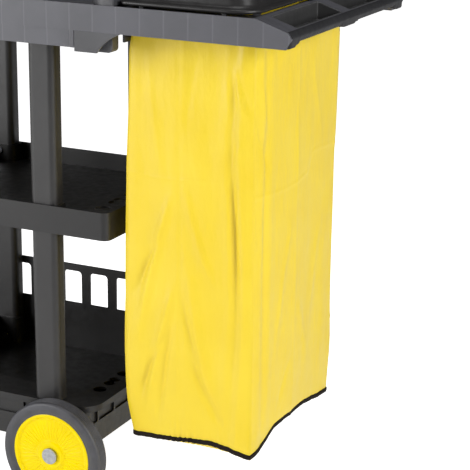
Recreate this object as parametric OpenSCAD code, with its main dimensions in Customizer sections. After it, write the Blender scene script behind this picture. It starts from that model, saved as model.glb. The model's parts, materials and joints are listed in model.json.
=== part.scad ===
// Housekeeping cart with a lidded waste bag, two open shelves, a top tray and a
// bucket platform. It rolls on two large fixed rear wheels and two swivel casters.
//
// Frame: millimetres, +Z up. The origin is on the floor, half way between the front
// of the bucket platform (-X) and the nose of the push handle (+X).

/* [Overall] */
// Length from the platform's front to the handle's nose
cart_l = 1185; // [1080:1:1300]
// Width over the top tray
cart_w = 508; // [500:1:610]
// Height of the top tray's rim above the floor
rim_z = 937.4; // [900:0.1:1120]

/* [Mouldings] */
// Wall of the trays, shelves and base
wall = 4.5; // [3.8:0.1:5.4]
// Thickness of decks and floors
deck_t = 4; // [3:0.1:5]
// Thickness of the lid and the handle's pockets
shell_t = 3; // [2.5:0.1:3.6]
// Corner radius of the shelves
shelf_corner_r = 14; // [11:0.5:17]

/* [Base and lower shelf] */
// Gap between the top of a caster's wheel and the base's skirt
caster_gap = 5; // [4:0.5:8]
// Height of the base, from its skirt to its deck
base_h = 26.6; // [23:0.1:32]
// Half width of the base
base_half_w = 187; // [170:1:191]
// Rear end of the base, seen from the side
base_end_x = 173; // [160:1:188]
// Height of the lip round the bucket platform
platform_lip_h = 20; // [15:1:25]
// Height of the lower shelf's ledge above the base's deck
ledge_h = 59.4; // [50:0.1:71]
// Half width of both shelves
shelf_half_w = 197.5; // [190:0.5:198]
// Rear end of the lower shelf's ledge
ledge_end_x = 190; // [176:1:205]
// Width of the ledge along the open side
side_ledge_w = 70; // [58:1:84]
// Width of the ledge at each end
end_ledge_w = 56; // [47:1:67]
// Height of the rolled edge under the ledge
lip_h = 12; // [10:0.5:15]
// Height of the closed side's wall above the ledge
back_wall_h = 40; // [34:1:47]
// Radius of the lower shelf's holes for tool handles
lower_hole_r = 13; // [11:0.5:13]

/* [Guard fence] */
// Height of the fence
fence_h = 88; // [74:1:105]
// Height of the fence's top rail
fence_rail_h = 14.5; // [12:0.5:18]
// Width of a bar
fence_bar_w = 20; // [16:1:24]
// Spacing of the bars
fence_pitch = 61.6; // [52:0.1:74]

/* [Middle shelf] */
// Front end of the shelves and the top tray
shelf_front_x = -300; // [-330:1:-250]
// Rear end of the middle shelf
shelf_end_x = 225; // [216:1:232]
// Top of the middle shelf's rim
shelf_top_z = 564.4; // [470:0.1:680]
// Height of the middle shelf's side
shelf_h = 50.6; // [46:0.1:60]
// Depth from the rim to the floor
shelf_depth = 33.4; // [28:0.1:37]
// Width of the ledge at each end
shelf_ledge_w = 47; // [40:1:56]
// Radius of the middle shelf's holes for tool handles
shelf_hole_r = 15; // [12.5:0.5:16]

/* [Posts] */
// Length of a post's section along the cart
post_l = 54; // [45:1:65]
// Width of a post's section across the cart
post_w = 34; // [28:1:35]
// Wall of a post
post_t = 4; // [3.4:0.1:4.8]
// Centre of the rear pair of posts
post_rear_x = 90; // [78:1:94]
// Distance from the lower well's front edge to the centre of the front posts
post_front_inset = 14; // [12:1:30]
// Gap round a post in its socket
post_gap = 0.2; // [0.15:0.01:0.3]
// Thickness of the web between two stacked posts
socket_web = 4; // [3:0.5:5]
// Radius of the bolts that hold the posts
bolt_r = 3; // [2.5:0.1:3.6]
// Gap round a bolt
bolt_gap = 0.05; // [0.04:0.01:0.1]

/* [Top tray and bag frame] */
// Height of the tray's side wall
side_h = 45.2; // [40:0.1:54]
// Depth of the tray below its rim
tray_depth = 36.4; // [30:0.1:38]
// Depth of the skirt below the side wall
skirt_h = 29.2; // [25:0.1:35]
// Rear end of the skirt
skirt_end_x = 197; // [180:1:205]
// Seam between the tray and the bag frame
seam_x = 233; // [233:1:240]
// Front edge of the bag's mouth
mouth_x0 = 260; // [258:1:268]
// Rear edge of the bag's mouth
mouth_x1 = 501; // [450:1:508]
// Half width of the bag's mouth
mouth_half_w = 185; // [155:1:205]
// Drop from the rim to the deck round the mouth
deck_drop = 6.4; // [5.5:0.1:7.6]
// Height of the collar round the mouth
collar_h = 3.5; // [3:0.1:4]
// Length of the handle's slope
slope_l = 62.5; // [54:0.5:66]
// Drop of the handle's slope
slope_drop = 18.4; // [15:0.1:22]
// Height of a lobe under the grip
lobe_h = 8; // [6.5:0.5:9.5]

/* [Hinge rail and lid] */
// Front face of the hinge rail
rail_x0 = 218; // [214:1:222]
// Rear face of the hinge rail
rail_x1 = 272; // [270:1:274]
// Height of the hinge rail
rail_h = 28.6; // [27.5:0.1:32]
// Radius of the rail's front corners
rail_corner_r = 38; // [32:1:45]
// Radius of a hinge pin
pin_r = 3.5; // [3:0.1:4]
// Running gap between a hinge pin and the lid
pin_gap = 0.05; // [0.03:0.01:0.08]
// Rear edge of the lid
lid_x1 = 522; // [516:1:523]
// Half width of the lid
lid_half_w = 243; // [225:1:244]
// Height of the lid's flange
flange_h = 7; // [6:0.1:8.4]
// Height of the lid's dome above the flange
dome_h = 29; // [25:0.5:34]
// Corner radius of the lid
lid_corner_r = 45; // [38:1:54]

/* [Waste bag] */
// Bottom of the bag
bag_bottom_z = 153; // [140:1:183]
// Wall of the bag
bag_t = 2.5; // [2:0.1:3]
// Gap between the bag and the mouth
bag_gap = 1.5; // [1.2:0.1:1.8]
// Corner radius of the bag
bag_corner_r = 18; // [15:1:21]
// Height of the tape round the bag's bottom
binding_h = 9; // [7.5:0.5:11]

/* [Rear wheels] */
// Radius of a rear wheel
wheel_r = 101.6; // [101:0.1:108]
// Width of a rear wheel
wheel_w = 34.5; // [29:0.5:41]
// Gap between the shelves and the wheel
wheel_gap = 3; // [2.5:0.1:4]
// Thickness of a rear wheel's tyre, from the hub to the tread
tyre_t = 22.6; // [19:0.1:27]
// Place of the rear axle along the cart
axle_x = 121.4; // [110:0.1:130]
// Radius of the rear axle
axle_r = 6; // [5:0.5:7]
// Running gap round the rear axle
axle_gap = 0.05; // [0.03:0.01:0.09]

/* [Front casters] */
// Place of the casters along the cart
caster_x = -500; // [-505:1:-450]
// Place of the casters across the cart
caster_y = 142; // [120:1:146]
// Radius of a caster's wheel
caster_r = 50; // [46:0.5:51]
// Width of a caster's wheel
caster_w = 32; // [27:1:36]
// Trail of a caster's wheel behind its swivel
caster_trail = 32; // [27:1:36]
// Radius of a caster's king pin
king_r = 5; // [4.2:0.1:6]

/* [Tool holders] */
// Radius of the cup for a tool handle
cup_r = 22; // [18:0.5:26]
// Height of the cup
cup_h = 30; // [25:1:36]
// Place of the tool holders across the cart
tool_y = 150; // [125:1:152]

/* [Hidden] */
$fn = 48;

// -Y is the left side, as seen from behind the push handle.
left = -1;
right = 1;
eps = 0.01;
charcoal = "#55555a";
dark = "#333333";
yellow = "#f6d22e";

half_l = cart_l / 2;
half_w = cart_w / 2;
side_z = rim_z - side_h;
tray_floor_z = rim_z - tray_depth;
skirt_z = side_z - skirt_h;
deck_z = rim_z - deck_drop;
base_bottom_z = 2 * caster_r + caster_gap;
base_top_z = base_bottom_z + base_h;
ledge_z = base_top_z + ledge_h;
back_wall_z = ledge_z + back_wall_h;
fence_top_z = back_wall_z + fence_h;
shelf_bottom_z = shelf_top_z - shelf_h;
shelf_floor_z = shelf_top_z - shelf_depth;
lower_floor_z = base_top_z + deck_t;
tool_x = shelf_front_x - 28;
post_front_x = shelf_front_x + end_ledge_w + post_front_inset;

// Holes for tool handles, just outside the wells
lower_hole_pitch = 90;
shelf_hole_pitch = 104;
lobe_offset = 10;
lower_hole_x = ledge_end_x - end_ledge_w + deck_t + lower_hole_r + 0.5;
lower_hole_y = -104;
shelf_hole_x = shelf_end_x - shelf_ledge_w + wall + shelf_hole_r + 1;
shelf_hole_y = -165;

// Posts and their sockets
socket_l = post_l + 2 * post_gap + 2 * wall;
socket_w = post_w + 2 * post_gap + 2 * wall;
post_y = shelf_half_w - socket_w / 2;
post_corner_r = post_w * 0.35;
lower_socket_z = lower_floor_z + deck_t;
web_z0 = shelf_top_z - shelf_h / 2 - socket_web / 2;
web_z1 = web_z0 + socket_web;
tray_socket_z = tray_floor_z - deck_t - socket_web;
bolt_inset = 12;
bolt_head_r = 2 * bolt_r;
bolt_head_h = bolt_r;
bolt_l = wall + post_gap + post_t + 3;
base_bolt_z = lower_socket_z + bolt_inset;
shelf_bolt_low_z = shelf_floor_z - deck_t - bolt_head_r - 0.5;
shelf_bolt_high_z = web_z1 + bolt_inset;
tray_bolt_z = tray_socket_z - bolt_inset;

// Rear wheels
wheel_y0 = shelf_half_w + wheel_gap;
wheel_y1 = wheel_y0 + wheel_w;
hub_r = wheel_r - tyre_t;
bush_r = axle_r + 3.5;
axle_cap_t = 4;
axle_cap_r = axle_r + 9;
axle_end = 3;
axle_boss_half = axle_r + 13;
axle_boss_l = 36;

// Lid hinge
hinge_x = rail_x1 - 6;
hinge_z = rim_z + 17.6;
knuckle_r = 8;
knuckle_y = 140;
knuckle_half = 15;
notch_gap = 1;
pin_half = 30;
lid_x0 = rail_x1 + 5;
lid_z = rim_z + 1.8;
lid_top_z = lid_z + flange_h + dome_h;
dome_inset = 12;
bumper_gap = 0.3;
bumper_r = 4;
screw_r = 2;
screw_x = seam_x + 10;
screw_ys = [-200, -60, 60, 200];

// Handle pockets
slope_x = half_l - slope_l;
step_x = slope_x - 6;
nose_back = 6.5;
nose_z = rim_z - 28;
pocket_x0 = slope_x + 3;
pocket_x1 = half_l - nose_back - 4;
pocket_y0 = 16;
pocket_y1 = half_w - 44;
pocket_z = side_z + 13;
pocket_r = 5;

// Bag
bag_x0 = mouth_x0 + bag_gap;
bag_x1 = mouth_x1 - bag_gap;
bag_half_w = mouth_half_w - bag_gap;
collar_t = 4;
collar_z = deck_z + collar_h;
hem_gap = 0.5;
hem_t = 1.5;
hem_z = collar_z + hem_gap + hem_t;

// Casters
plate_z = base_top_z - deck_t;
plate_t = 4;
plate_l = 96;
plate_w = 74;
plate_bolt_x = 38;
plate_bolt_y = 27;
crown_t = 3;
crown_z = base_bottom_z + 2;
crown_r = 32;
race_r = 24;
race_gap = 1;
leg_t = 3;
leg_y = caster_w / 2 + 1.5;
caster_axle_r = 4;
caster_tyre_t = 10;
plate_bolt_r = 4;

// Bucket pad, between the casters' bolts
pad_half_w = caster_y - plate_bolt_y - 15;
pad_x1 = shelf_front_x - 65;
pad_z = base_top_z + 2;

// A rounded rectangle between two corners, made of straight sides and arcs
module rounded(x0, x1, y0, y1, r) {
    translate([x0 + r, y0]) square([x1 - x0 - 2 * r, y1 - y0]);
    translate([x0, y0 + r]) square([x1 - x0, y1 - y0 - 2 * r]);
    for (x = [x0 + r, x1 - r], y = [y0 + r, y1 - r]) translate([x, y]) circle(r);
}

// A rounded rectangle with one radius at the front and another at the rear
module rounded_ends(x0, x1, y0, y1, r0, r1) {
    split = x1 - r1;
    intersection() {
        rounded(x0, x1 + 2 * r0, y0, y1, r0);
        translate([x0, y0]) square([split - x0, y1 - y0]);
    }
    intersection() {
        rounded(x0 - 2 * r1, x1, y0, y1, r1);
        translate([split - eps, y0]) square([r1 + eps, y1 - y0]);
    }
}

// A flat slab with rounded upright corners
module slab(x0, x1, y0, y1, z0, z1, r) {
    translate([0, 0, z0]) linear_extrude(z1 - z0) rounded(x0, x1, y0, y1, r);
}

module box(x0, x1, y0, y1, z0, z1) {
    translate([x0, y0, z0]) cube([x1 - x0, y1 - y0, z1 - z0]);
}

// A cylinder lying along Y
module rod_y(x, y0, y1, z, r) {
    translate([x, y0, z]) rotate([-90, 0, 0]) cylinder(h = y1 - y0, r = r);
}

// An outline in X and Z carried along Y
module along_y(y0, y1) {
    translate([0, y1, 0]) rotate([90, 0, 0]) linear_extrude(y1 - y0) children();
}

// ---------------------------------------------------------------- posts

module post_outline(grow) {
    half = post_l / 2 + grow;
    side = post_w / 2 + grow;
    rounded(-half, half, -side, side, post_corner_r + grow);
}

module socket(x, side, z0, z1) {
    translate([x, side * post_y, z0]) linear_extrude(z1 - z0) post_outline(post_gap + wall);
}

module socket_pocket(x, side, z0, z1) {
    translate([x, side * post_y, z0]) linear_extrude(z1 - z0) post_outline(post_gap);
}

// The bolt is driven outwards from the socket's inner face.
module post_bolt(x, side, z, grow) {
    face = post_y - socket_w / 2;
    y0 = side > 0 ? face : -face - bolt_l;
    rod_y(x, y0, y0 + bolt_l, z, bolt_r + grow);
}

module post_bolt_solid(x, side, z) {
    face = post_y - socket_w / 2;
    head_y = side > 0 ? face - bolt_head_h : -face;
    union() {
        post_bolt(x, side, z, 0);
        rod_y(x, head_y, head_y + bolt_head_h, z, bolt_head_r);
    }
}

module post(x, side, z0, z1, bolt_zs) {
    color(charcoal) difference() {
        translate([x, side * post_y, z0]) linear_extrude(z1 - z0) post_outline(0);
        translate([x, side * post_y, z0 - eps]) linear_extrude(z1 - z0 + 2 * eps) post_outline(-post_t);
        for (z = bolt_zs) post_bolt(x, side, z, bolt_gap);
    }
}

module lower_post(x, side) {
    post(x, side, lower_socket_z, web_z0, [base_bolt_z, shelf_bolt_low_z]);
}

module upper_post(x, side) {
    post(x, side, web_z1, tray_socket_z, [shelf_bolt_high_z, tray_bolt_z]);
}

module bolt_group(zs) {
    color("silver") for (x = [post_rear_x, post_front_x], side = [left, right], z = zs)
        post_bolt_solid(x, side, z);
}

module base_bolts() { bolt_group([base_bolt_z]); }

module shelf_bolts() { bolt_group([shelf_bolt_low_z, shelf_bolt_high_z]); }

module tray_bolts() { bolt_group([tray_bolt_z]); }

// ---------------------------------------------------------------- base

module caster_bolt_places() {
    for (side = [left, right], sx = [-1, 1], sy = [-1, 1])
        translate([caster_x + sx * plate_bolt_x, side * caster_y + sy * plate_bolt_y, 0]) children();
}

module base_platform() {
    lip_z = base_top_z + platform_lip_h;
    platform_x = shelf_front_x - 4;
    color(charcoal) difference() {
        union() {
            difference() {
                slab(-half_l, base_end_x, -base_half_w, base_half_w, base_bottom_z, base_top_z, 20);
                slab(-half_l + wall, base_end_x - wall, -base_half_w + wall, base_half_w - wall,
                    base_bottom_z - eps, base_top_z - deck_t, 20 - wall);
            }
            // Lip that keeps a bucket on the platform
            difference() {
                slab(-half_l, platform_x, -base_half_w, base_half_w, base_top_z - eps, lip_z, 20);
                slab(-half_l + wall, platform_x + 30, -base_half_w + wall, base_half_w - wall,
                    base_top_z - 2 * eps, lip_z + eps, 20 - wall);
            }
            // Raised pad that a bucket stands on
            slab(-half_l + 18, pad_x1, -pad_half_w, pad_half_w, base_top_z - eps, pad_z, 10);
            // Stiffening ribs under the deck
            for (x = [-380, -240, -100, 40])
                box(x, x + wall, -base_half_w + wall - eps, base_half_w - wall + eps,
                    base_bottom_z + 4, base_top_z - deck_t + eps);
            // Bosses for the rear axle
            for (side = [left, right])
                translate([axle_x, side * (base_half_w - axle_boss_l / 2), 0])
                    translate([-axle_boss_half, -axle_boss_l / 2, wheel_r - axle_boss_half])
                        cube([2 * axle_boss_half, axle_boss_l, base_top_z - deck_t - wheel_r + axle_boss_half + eps]);
        }
        rod_y(axle_x, -half_w, half_w, wheel_r, axle_r + axle_gap);
        caster_bolt_places() translate([0, 0, base_top_z - deck_t - eps])
            cylinder(h = deck_t + 2 * eps, r = plate_bolt_r + bolt_gap);
    }
}

// ---------------------------------------------------------------- lower shelf

// Round and two-lobed holes for tool handles, along an end ledge
module tool_holes(x, y0, pitch, z, r) {
    depth = deck_t + 1;
    for (y = [0, pitch]) translate([x, y0 + y, z - depth]) cylinder(h = 2 * depth, r = r);
    for (y = [-lobe_offset, lobe_offset])
        translate([x, y0 + pitch / 2 + y, z - depth]) cylinder(h = 2 * depth, r = r - 2);
}

module lower_shelf() {
    recess = 4;
    rib_l = recess;
    rib_t = 5;
    band_z = base_top_z + 16;
    wall_x = base_end_x - recess;
    wall_y = base_half_w - recess;
    front_x = shelf_front_x;
    well_x0 = front_x + end_ledge_w;
    well_x1 = ledge_end_x - end_ledge_w;
    well_y0 = -shelf_half_w + side_ledge_w;
    color(charcoal) difference() {
        union() {
            difference() {
                union() {
                    // Foot of the shelf, flush with the base
                    slab(front_x, base_end_x, -base_half_w, base_half_w, base_top_z, band_z, shelf_corner_r);
                    // Set-back wall above it
                    slab(front_x, wall_x, -wall_y, shelf_half_w, base_top_z, ledge_z - eps, shelf_corner_r);
                    // Upright ribs on the set-back wall
                    for (y = [-150 : 60 : 150])
                        box(wall_x - eps, wall_x + rib_l, y, y + rib_t, band_z - eps, ledge_z - deck_t);
                    for (x = [-270 : 60 : 90])
                        box(x, x + rib_t, -wall_y - rib_l, -wall_y + eps, band_z - eps, ledge_z - deck_t);
                    // Ledge with a rolled edge
                    slab(front_x, ledge_end_x, -shelf_half_w, shelf_half_w, ledge_z - lip_h, ledge_z, 40);
                    // Wall of the closed side
                    box(front_x + 40, ledge_end_x - 40, shelf_half_w - 2 * wall, shelf_half_w,
                        base_top_z, back_wall_z);
                }
                // Underside of the ledge, open between the rolled edge and the wall
                difference() {
                    slab(front_x + deck_t, ledge_end_x - deck_t, -shelf_half_w + deck_t, shelf_half_w - deck_t,
                        ledge_z - lip_h - eps, ledge_z - deck_t, 36);
                    slab(front_x, wall_x, -wall_y, shelf_half_w, base_top_z, ledge_z, shelf_corner_r);
                    for (y = [-150 : 60 : 150])
                        box(wall_x - eps, wall_x + rib_l, y, y + rib_t, base_top_z, ledge_z);
                    for (x = [-270 : 60 : 90])
                        box(x, x + rib_t, -wall_y - rib_l, -wall_y + eps, base_top_z, ledge_z);
                }
                // Hollow inside the ledges, closed by the base's deck
                slab(well_x1 + deck_t, wall_x - deck_t, -wall_y + deck_t, shelf_half_w - 3 * wall,
                    base_top_z - eps, ledge_z - deck_t, 4);
                slab(front_x + deck_t, well_x0 - deck_t, -wall_y + deck_t, shelf_half_w - 3 * wall,
                    base_top_z - eps, ledge_z - deck_t, 4);
                slab(front_x + deck_t, wall_x - deck_t, -wall_y + deck_t, well_y0 - deck_t,
                    base_top_z - eps, ledge_z - deck_t, 4);
                // The open well
                slab(well_x0, well_x1, well_y0, shelf_half_w - wall, lower_floor_z, back_wall_z + eps, 30);
                slab(well_x0, well_x1, well_y0 + 60, shelf_half_w - wall, lower_floor_z, back_wall_z + eps, 4);
                tool_holes(lower_hole_x, lower_hole_y, lower_hole_pitch, ledge_z, lower_hole_r);
            }
            for (x = [post_rear_x, post_front_x], side = [left, right])
                socket(x, side, base_top_z, ledge_z);
        }
        for (x = [post_rear_x, post_front_x], side = [left, right]) {
            socket_pocket(x, side, lower_socket_z, back_wall_z);
            post_bolt(x, side, base_bolt_z, bolt_gap);
        }
    }
}

module guard_fence() {
    x0 = shelf_front_x + 40;
    x1 = ledge_end_x - 40;
    // A bar stands here, and the others follow it at the pitch.
    bar_x = 7.1;
    opening_r = 8;
    first = ceil((x0 + fence_bar_w - bar_x) / fence_pitch);
    last = floor((x1 - fence_bar_w - bar_x) / fence_pitch);
    centres = [for (i = [first : last]) bar_x + i * fence_pitch];
    edges = concat([x0 + fence_bar_w], [for (c = centres) c + fence_bar_w / 2]);
    ends = concat([for (c = centres) c - fence_bar_w / 2], [x1 - fence_bar_w]);
    color(charcoal) difference() {
        along_y(shelf_half_w - wall, shelf_half_w)
            rounded(x0, x1, back_wall_z, fence_top_z, 6);
        for (i = [0 : len(edges) - 1])
            if (ends[i] - edges[i] > 2 * opening_r + 4)
                along_y(shelf_half_w - wall - eps, shelf_half_w + eps) {
                    rounded(edges[i], ends[i], back_wall_z + deck_t, fence_top_z - fence_rail_h, opening_r);
                    translate([edges[i], back_wall_z + deck_t]) square([ends[i] - edges[i], opening_r]);
                }
    }
}

// ---------------------------------------------------------------- middle shelf

module middle_shelf() {
    well_x0 = shelf_front_x + shelf_ledge_w;
    well_x1 = shelf_end_x - shelf_ledge_w;
    color(charcoal) difference() {
        union() {
            difference() {
                slab(shelf_front_x, shelf_end_x, -shelf_half_w, shelf_half_w,
                    shelf_bottom_z, shelf_top_z, shelf_corner_r);
                // Open well
                slab(well_x0, well_x1, -shelf_half_w + wall, shelf_half_w - wall,
                    shelf_floor_z, shelf_top_z + eps, 10);
                // Hollow underside
                slab(shelf_front_x + wall, shelf_end_x - wall, -shelf_half_w + wall, shelf_half_w - wall,
                    shelf_bottom_z - eps, shelf_floor_z - deck_t, shelf_corner_r - wall);
                for (x = [[shelf_front_x + wall, well_x0 - wall], [well_x1 + wall, shelf_end_x - wall]])
                    slab(x[0], x[1], -shelf_half_w + wall, shelf_half_w - wall,
                        shelf_bottom_z - eps, shelf_top_z - deck_t, shelf_corner_r - wall);
                tool_holes(shelf_hole_x, shelf_hole_y, shelf_hole_pitch, shelf_top_z, shelf_hole_r);
            }
            for (x = [post_rear_x, post_front_x], side = [left, right])
                socket(x, side, shelf_bottom_z, shelf_top_z);
        }
        for (x = [post_rear_x, post_front_x], side = [left, right]) {
            socket_pocket(x, side, shelf_bottom_z - eps, web_z0);
            socket_pocket(x, side, web_z1, shelf_top_z + eps);
            post_bolt(x, side, shelf_bolt_low_z, bolt_gap);
            post_bolt(x, side, shelf_bolt_high_z, bolt_gap);
        }
    }
}

// ---------------------------------------------------------------- top tray

module top_tray() {
    x0 = shelf_front_x;
    divider_x = x0 + 84;
    skirt_inset = 1.5;
    color(charcoal) difference() {
        union() {
            difference() {
                union() {
                    rounded_tray(x0, seam_x, half_w, side_z, rim_z, 30);
                    rounded_tray(x0 + 8, skirt_end_x, half_w - skirt_inset, skirt_z, side_z + eps, 26);
                    // Ribs at the end of the skirt
                    for (side = [left, right])
                        translate([skirt_end_x - 7, side * half_w - (side > 0 ? 6 : 0), skirt_z])
                            cube([7, 6, skirt_h + eps]);
                }
                rounded_tray(x0 + wall, seam_x - wall, half_w - wall, tray_floor_z, rim_z + eps, 30 - wall);
                rounded_tray(x0 + 8 + wall, skirt_end_x - wall, half_w - skirt_inset - wall - 2,
                    skirt_z - eps, side_z + eps, 26 - wall);
                rounded_tray(x0 + wall, seam_x - wall, half_w - wall - 4, side_z - eps,
                    tray_floor_z - deck_t, 30 - wall);
            }
            // Dividers of the front compartments
            box(divider_x, divider_x + shell_t, -half_w + wall - eps, half_w - wall + eps,
                tray_floor_z - eps, rim_z - 6);
            for (y = [-half_w / 3, half_w / 3])
                box(x0 + wall - eps, divider_x + eps, y - shell_t / 2, y + shell_t / 2,
                    tray_floor_z - eps, rim_z - 6);
            for (x = [post_rear_x, post_front_x], side = [left, right])
                socket(x, side, skirt_z, tray_floor_z - deck_t + eps);
        }
        for (x = [post_rear_x, post_front_x], side = [left, right]) {
            socket_pocket(x, side, skirt_z - eps, tray_socket_z);
            post_bolt(x, side, tray_bolt_z, bolt_gap);
        }
    }
}

// A tray outline with round corners at the front and square ones at the seam
module rounded_tray(x0, x1, half, z0, z1, r) {
    translate([0, 0, z0]) linear_extrude(z1 - z0) intersection() {
        rounded(x0, x1 + 2 * r, -half, half, r);
        translate([x0, -half]) square([x1 - x0, 2 * half]);
    }
}

// ---------------------------------------------------------------- bag frame

// Side view of the slope, the rounded nose and the grip
module slope_outline(inset) {
    polygon([
        [step_x + inset, rim_z - inset],
        [slope_x, rim_z - inset],
        [half_l - nose_back - inset * 0.4, rim_z - slope_drop - inset],
        [half_l - inset, nose_z],
        [half_l - nose_back - inset, side_z + lobe_h + inset],
        [half_l - nose_back - 12, side_z + lobe_h],
        [half_l - nose_back - 18, inset > 0 ? side_z - 1 : side_z + lobe_h],
        [step_x + inset, inset > 0 ? side_z - 1 : side_z + lobe_h]
    ]);
}

module bag_frame() {
    apron_x = mouth_x0 - wall + eps;
    apron_drop = 26;
    color(charcoal) difference() {
        union() {
            // Side walls, sloping down to the nose
            for (side = [left, right])
                along_y(side > 0 ? half_w - wall : -half_w, side > 0 ? half_w : -half_w + wall)
                    polygon([
                        [seam_x, side_z],
                        [half_l - nose_back - 3.5, side_z],
                        [half_l, nose_z],
                        [half_l - nose_back, rim_z - slope_drop],
                        [slope_x, rim_z],
                        [seam_x, rim_z]
                    ]);
            // Deck with a collar for the bag's hem
            box(seam_x, step_x + wall, -half_w + wall - eps, half_w - wall + eps, deck_z - deck_t, deck_z);
            slab(mouth_x0 - collar_t, mouth_x1 + collar_t, -mouth_half_w - collar_t, mouth_half_w + collar_t,
                deck_z - eps, collar_z, bag_corner_r);
            slab(mouth_x0 - wall, mouth_x1 + wall, -mouth_half_w - wall, mouth_half_w + wall,
                side_z + 10, deck_z - eps, bag_corner_r);
            // Wall against the tray
            box(seam_x, seam_x + deck_t, -half_w + wall - eps, half_w - wall + eps, side_z, deck_z);
            // Sloping top, nose and grip
            difference() {
                along_y(-half_w + wall - eps, half_w - wall + eps) slope_outline(0);
                along_y(-half_w + wall, half_w - wall) slope_outline(wall);
            }
            // Lobes under the ends and the middle of the grip
            for (y = [[-half_w + wall - eps, -half_w + 36], [half_w - 36, half_w - wall + eps]])
                box(half_l - 24, half_l - nose_back - 4, y[0], y[1], side_z, side_z + lobe_h + wall);
            box(half_l - 24, half_l - nose_back - 4, -24, 24, side_z + lobe_h / 2, side_z + lobe_h + wall);
            // Apron in front of the mouth
            box(apron_x - deck_t, apron_x, -mouth_half_w, mouth_half_w, side_z - apron_drop, deck_z - eps);
        }
        slab(mouth_x0, mouth_x1, -mouth_half_w, mouth_half_w, side_z - eps, rim_z + eps, bag_corner_r);
        // Cut-outs that the pockets hang in
        for (side = [left, right])
            slab(pocket_x0, pocket_x1, side > 0 ? pocket_y0 : -pocket_y1, side > 0 ? pocket_y1 : -pocket_y0,
                side_z - 5, rim_z + eps, pocket_r);
        for (y = screw_ys) translate([screw_x, y, side_z]) cylinder(h = side_h, r = screw_r + bolt_gap);
    }
}

module handle_pockets() {
    color(dark) for (side = [left, right]) {
        y0 = side > 0 ? pocket_y0 : -pocket_y1;
        y1 = side > 0 ? pocket_y1 : -pocket_y0;
        intersection() {
            difference() {
                slab(pocket_x0, pocket_x1, y0, y1, pocket_z - shell_t, rim_z, pocket_r);
                slab(pocket_x0 + shell_t, pocket_x1 - shell_t, y0 + shell_t, y1 - shell_t,
                    pocket_z, rim_z + eps, pocket_r - shell_t);
            }
            along_y(-half_w, half_w) polygon([
                [step_x, rim_z],
                [slope_x, rim_z],
                [half_l - nose_back, rim_z - slope_drop],
                [half_l - nose_back, side_z],
                [step_x, side_z]
            ]);
        }
    }
}

// Bracket under the joint of the tray and the frame: a plate with a concave rear edge,
// and a block set back from it that is open towards the bag
module frame_bracket(side) {
    drop = skirt_h + 6;
    plate_x0 = skirt_end_x + 1;
    plate_x1 = seam_x + 51;
    block_x1 = seam_x + 30;
    block_y0 = half_w - 35;
    block_y1 = half_w - 14;
    corner_r = 8;
    low_z = side_z - drop;
    // The rear edge is part of a wide circle whose centre lies below and behind the plate.
    arc_r = 90;
    arc_x = plate_x1 + 31.5;
    arc_z = low_z - 50;
    color(charcoal) union() {
        bracket_slab(side, half_w - wall, half_w) difference() {
            translate([plate_x0, low_z]) square([plate_x1 - plate_x0, drop]);
            translate([arc_x, arc_z]) circle(arc_r, $fn = 144);
        }
        // Hollow part of the block, and its closed side
        bracket_slab(side, block_y0, block_y1 - wall + eps) difference() {
            block_outline(plate_x0, block_x1, low_z, side_z, corner_r);
            translate([plate_x0 + wall, low_z + wall])
                square([block_x1 - plate_x0 - 2 * wall, drop - 2 * wall]);
        }
        bracket_slab(side, block_y1 - wall, block_y1) block_outline(plate_x0, block_x1, low_z, side_z, corner_r);
        // Webs between the plate and the block
        bracket_slab(side, block_y1 - eps, half_w - wall + eps)
            translate([plate_x0, low_z]) square([wall, drop]);
        bracket_slab(side, block_y1 - eps, half_w - wall + eps)
            translate([plate_x0, side_z - wall]) square([block_x1 - plate_x0, wall]);
    }
}

// Side view of the block, with a round lower rear corner
module block_outline(x0, x1, z0, z1, r) {
    translate([x0, z0]) square([x1 - x0 - r, z1 - z0]);
    translate([x0, z0 + r]) square([x1 - x0, z1 - z0 - r]);
    translate([x1 - r, z0 + r]) circle(r);
}

// An outline in X and Z carried between two distances from the middle, on one side
module bracket_slab(side, y0, y1) {
    along_y(side > 0 ? y0 : -y1, side > 0 ? y1 : -y0) children();
}

// ---------------------------------------------------------------- hinge and lid

module hinge_rail() {
    rail_z = rim_z + rail_h;
    half = half_w - 2;
    block_half = pin_half + 3;
    color(charcoal) difference() {
        union() {
            difference() {
                translate([0, 0, rim_z]) linear_extrude(rail_h)
                    rounded_ends(rail_x0, rail_x1, -half, half, rail_corner_r, 3);
                translate([0, 0, rim_z - eps]) linear_extrude(rail_h - deck_t)
                    rounded_ends(rail_x0 + deck_t, rail_x1 - deck_t, -half + deck_t, half - deck_t,
                        rail_corner_r - deck_t, 2);
            }
            for (side = [left, right])
                box(rail_x1 - 22, rail_x1, side * knuckle_y - block_half, side * knuckle_y + block_half,
                    rim_z + 2, rail_z);
            for (y = screw_ys) translate([screw_x, y, deck_z]) cylinder(h = rail_z - deck_z, r = 6);
        }
        for (side = [left, right]) {
            box(hinge_x - knuckle_r - 4, rail_x1 + eps,
                side * knuckle_y - knuckle_half - notch_gap, side * knuckle_y + knuckle_half + notch_gap,
                hinge_z - knuckle_r - 3, rail_z + eps);
            rod_y(hinge_x, side * knuckle_y - pin_half, side * knuckle_y + pin_half, hinge_z, pin_r);
        }
        for (y = screw_ys) translate([screw_x, y, deck_z - eps])
            cylinder(h = rail_z - deck_z + 2 * eps, r = screw_r + bolt_gap);
    }
}

module rail_screws() {
    color("silver") for (y = screw_ys) union() {
        translate([screw_x, y, deck_z - deck_t - 6]) cylinder(h = rim_z + rail_h - deck_z + deck_t + 6, r = screw_r);
        translate([screw_x, y, rim_z + rail_h]) cylinder(h = 2.5, r = 4.5);
    }
}

module hinge_pins() {
    color("silver") for (side = [left, right])
        rod_y(hinge_x, side * knuckle_y - pin_half, side * knuckle_y + pin_half, hinge_z, pin_r);
}

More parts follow.
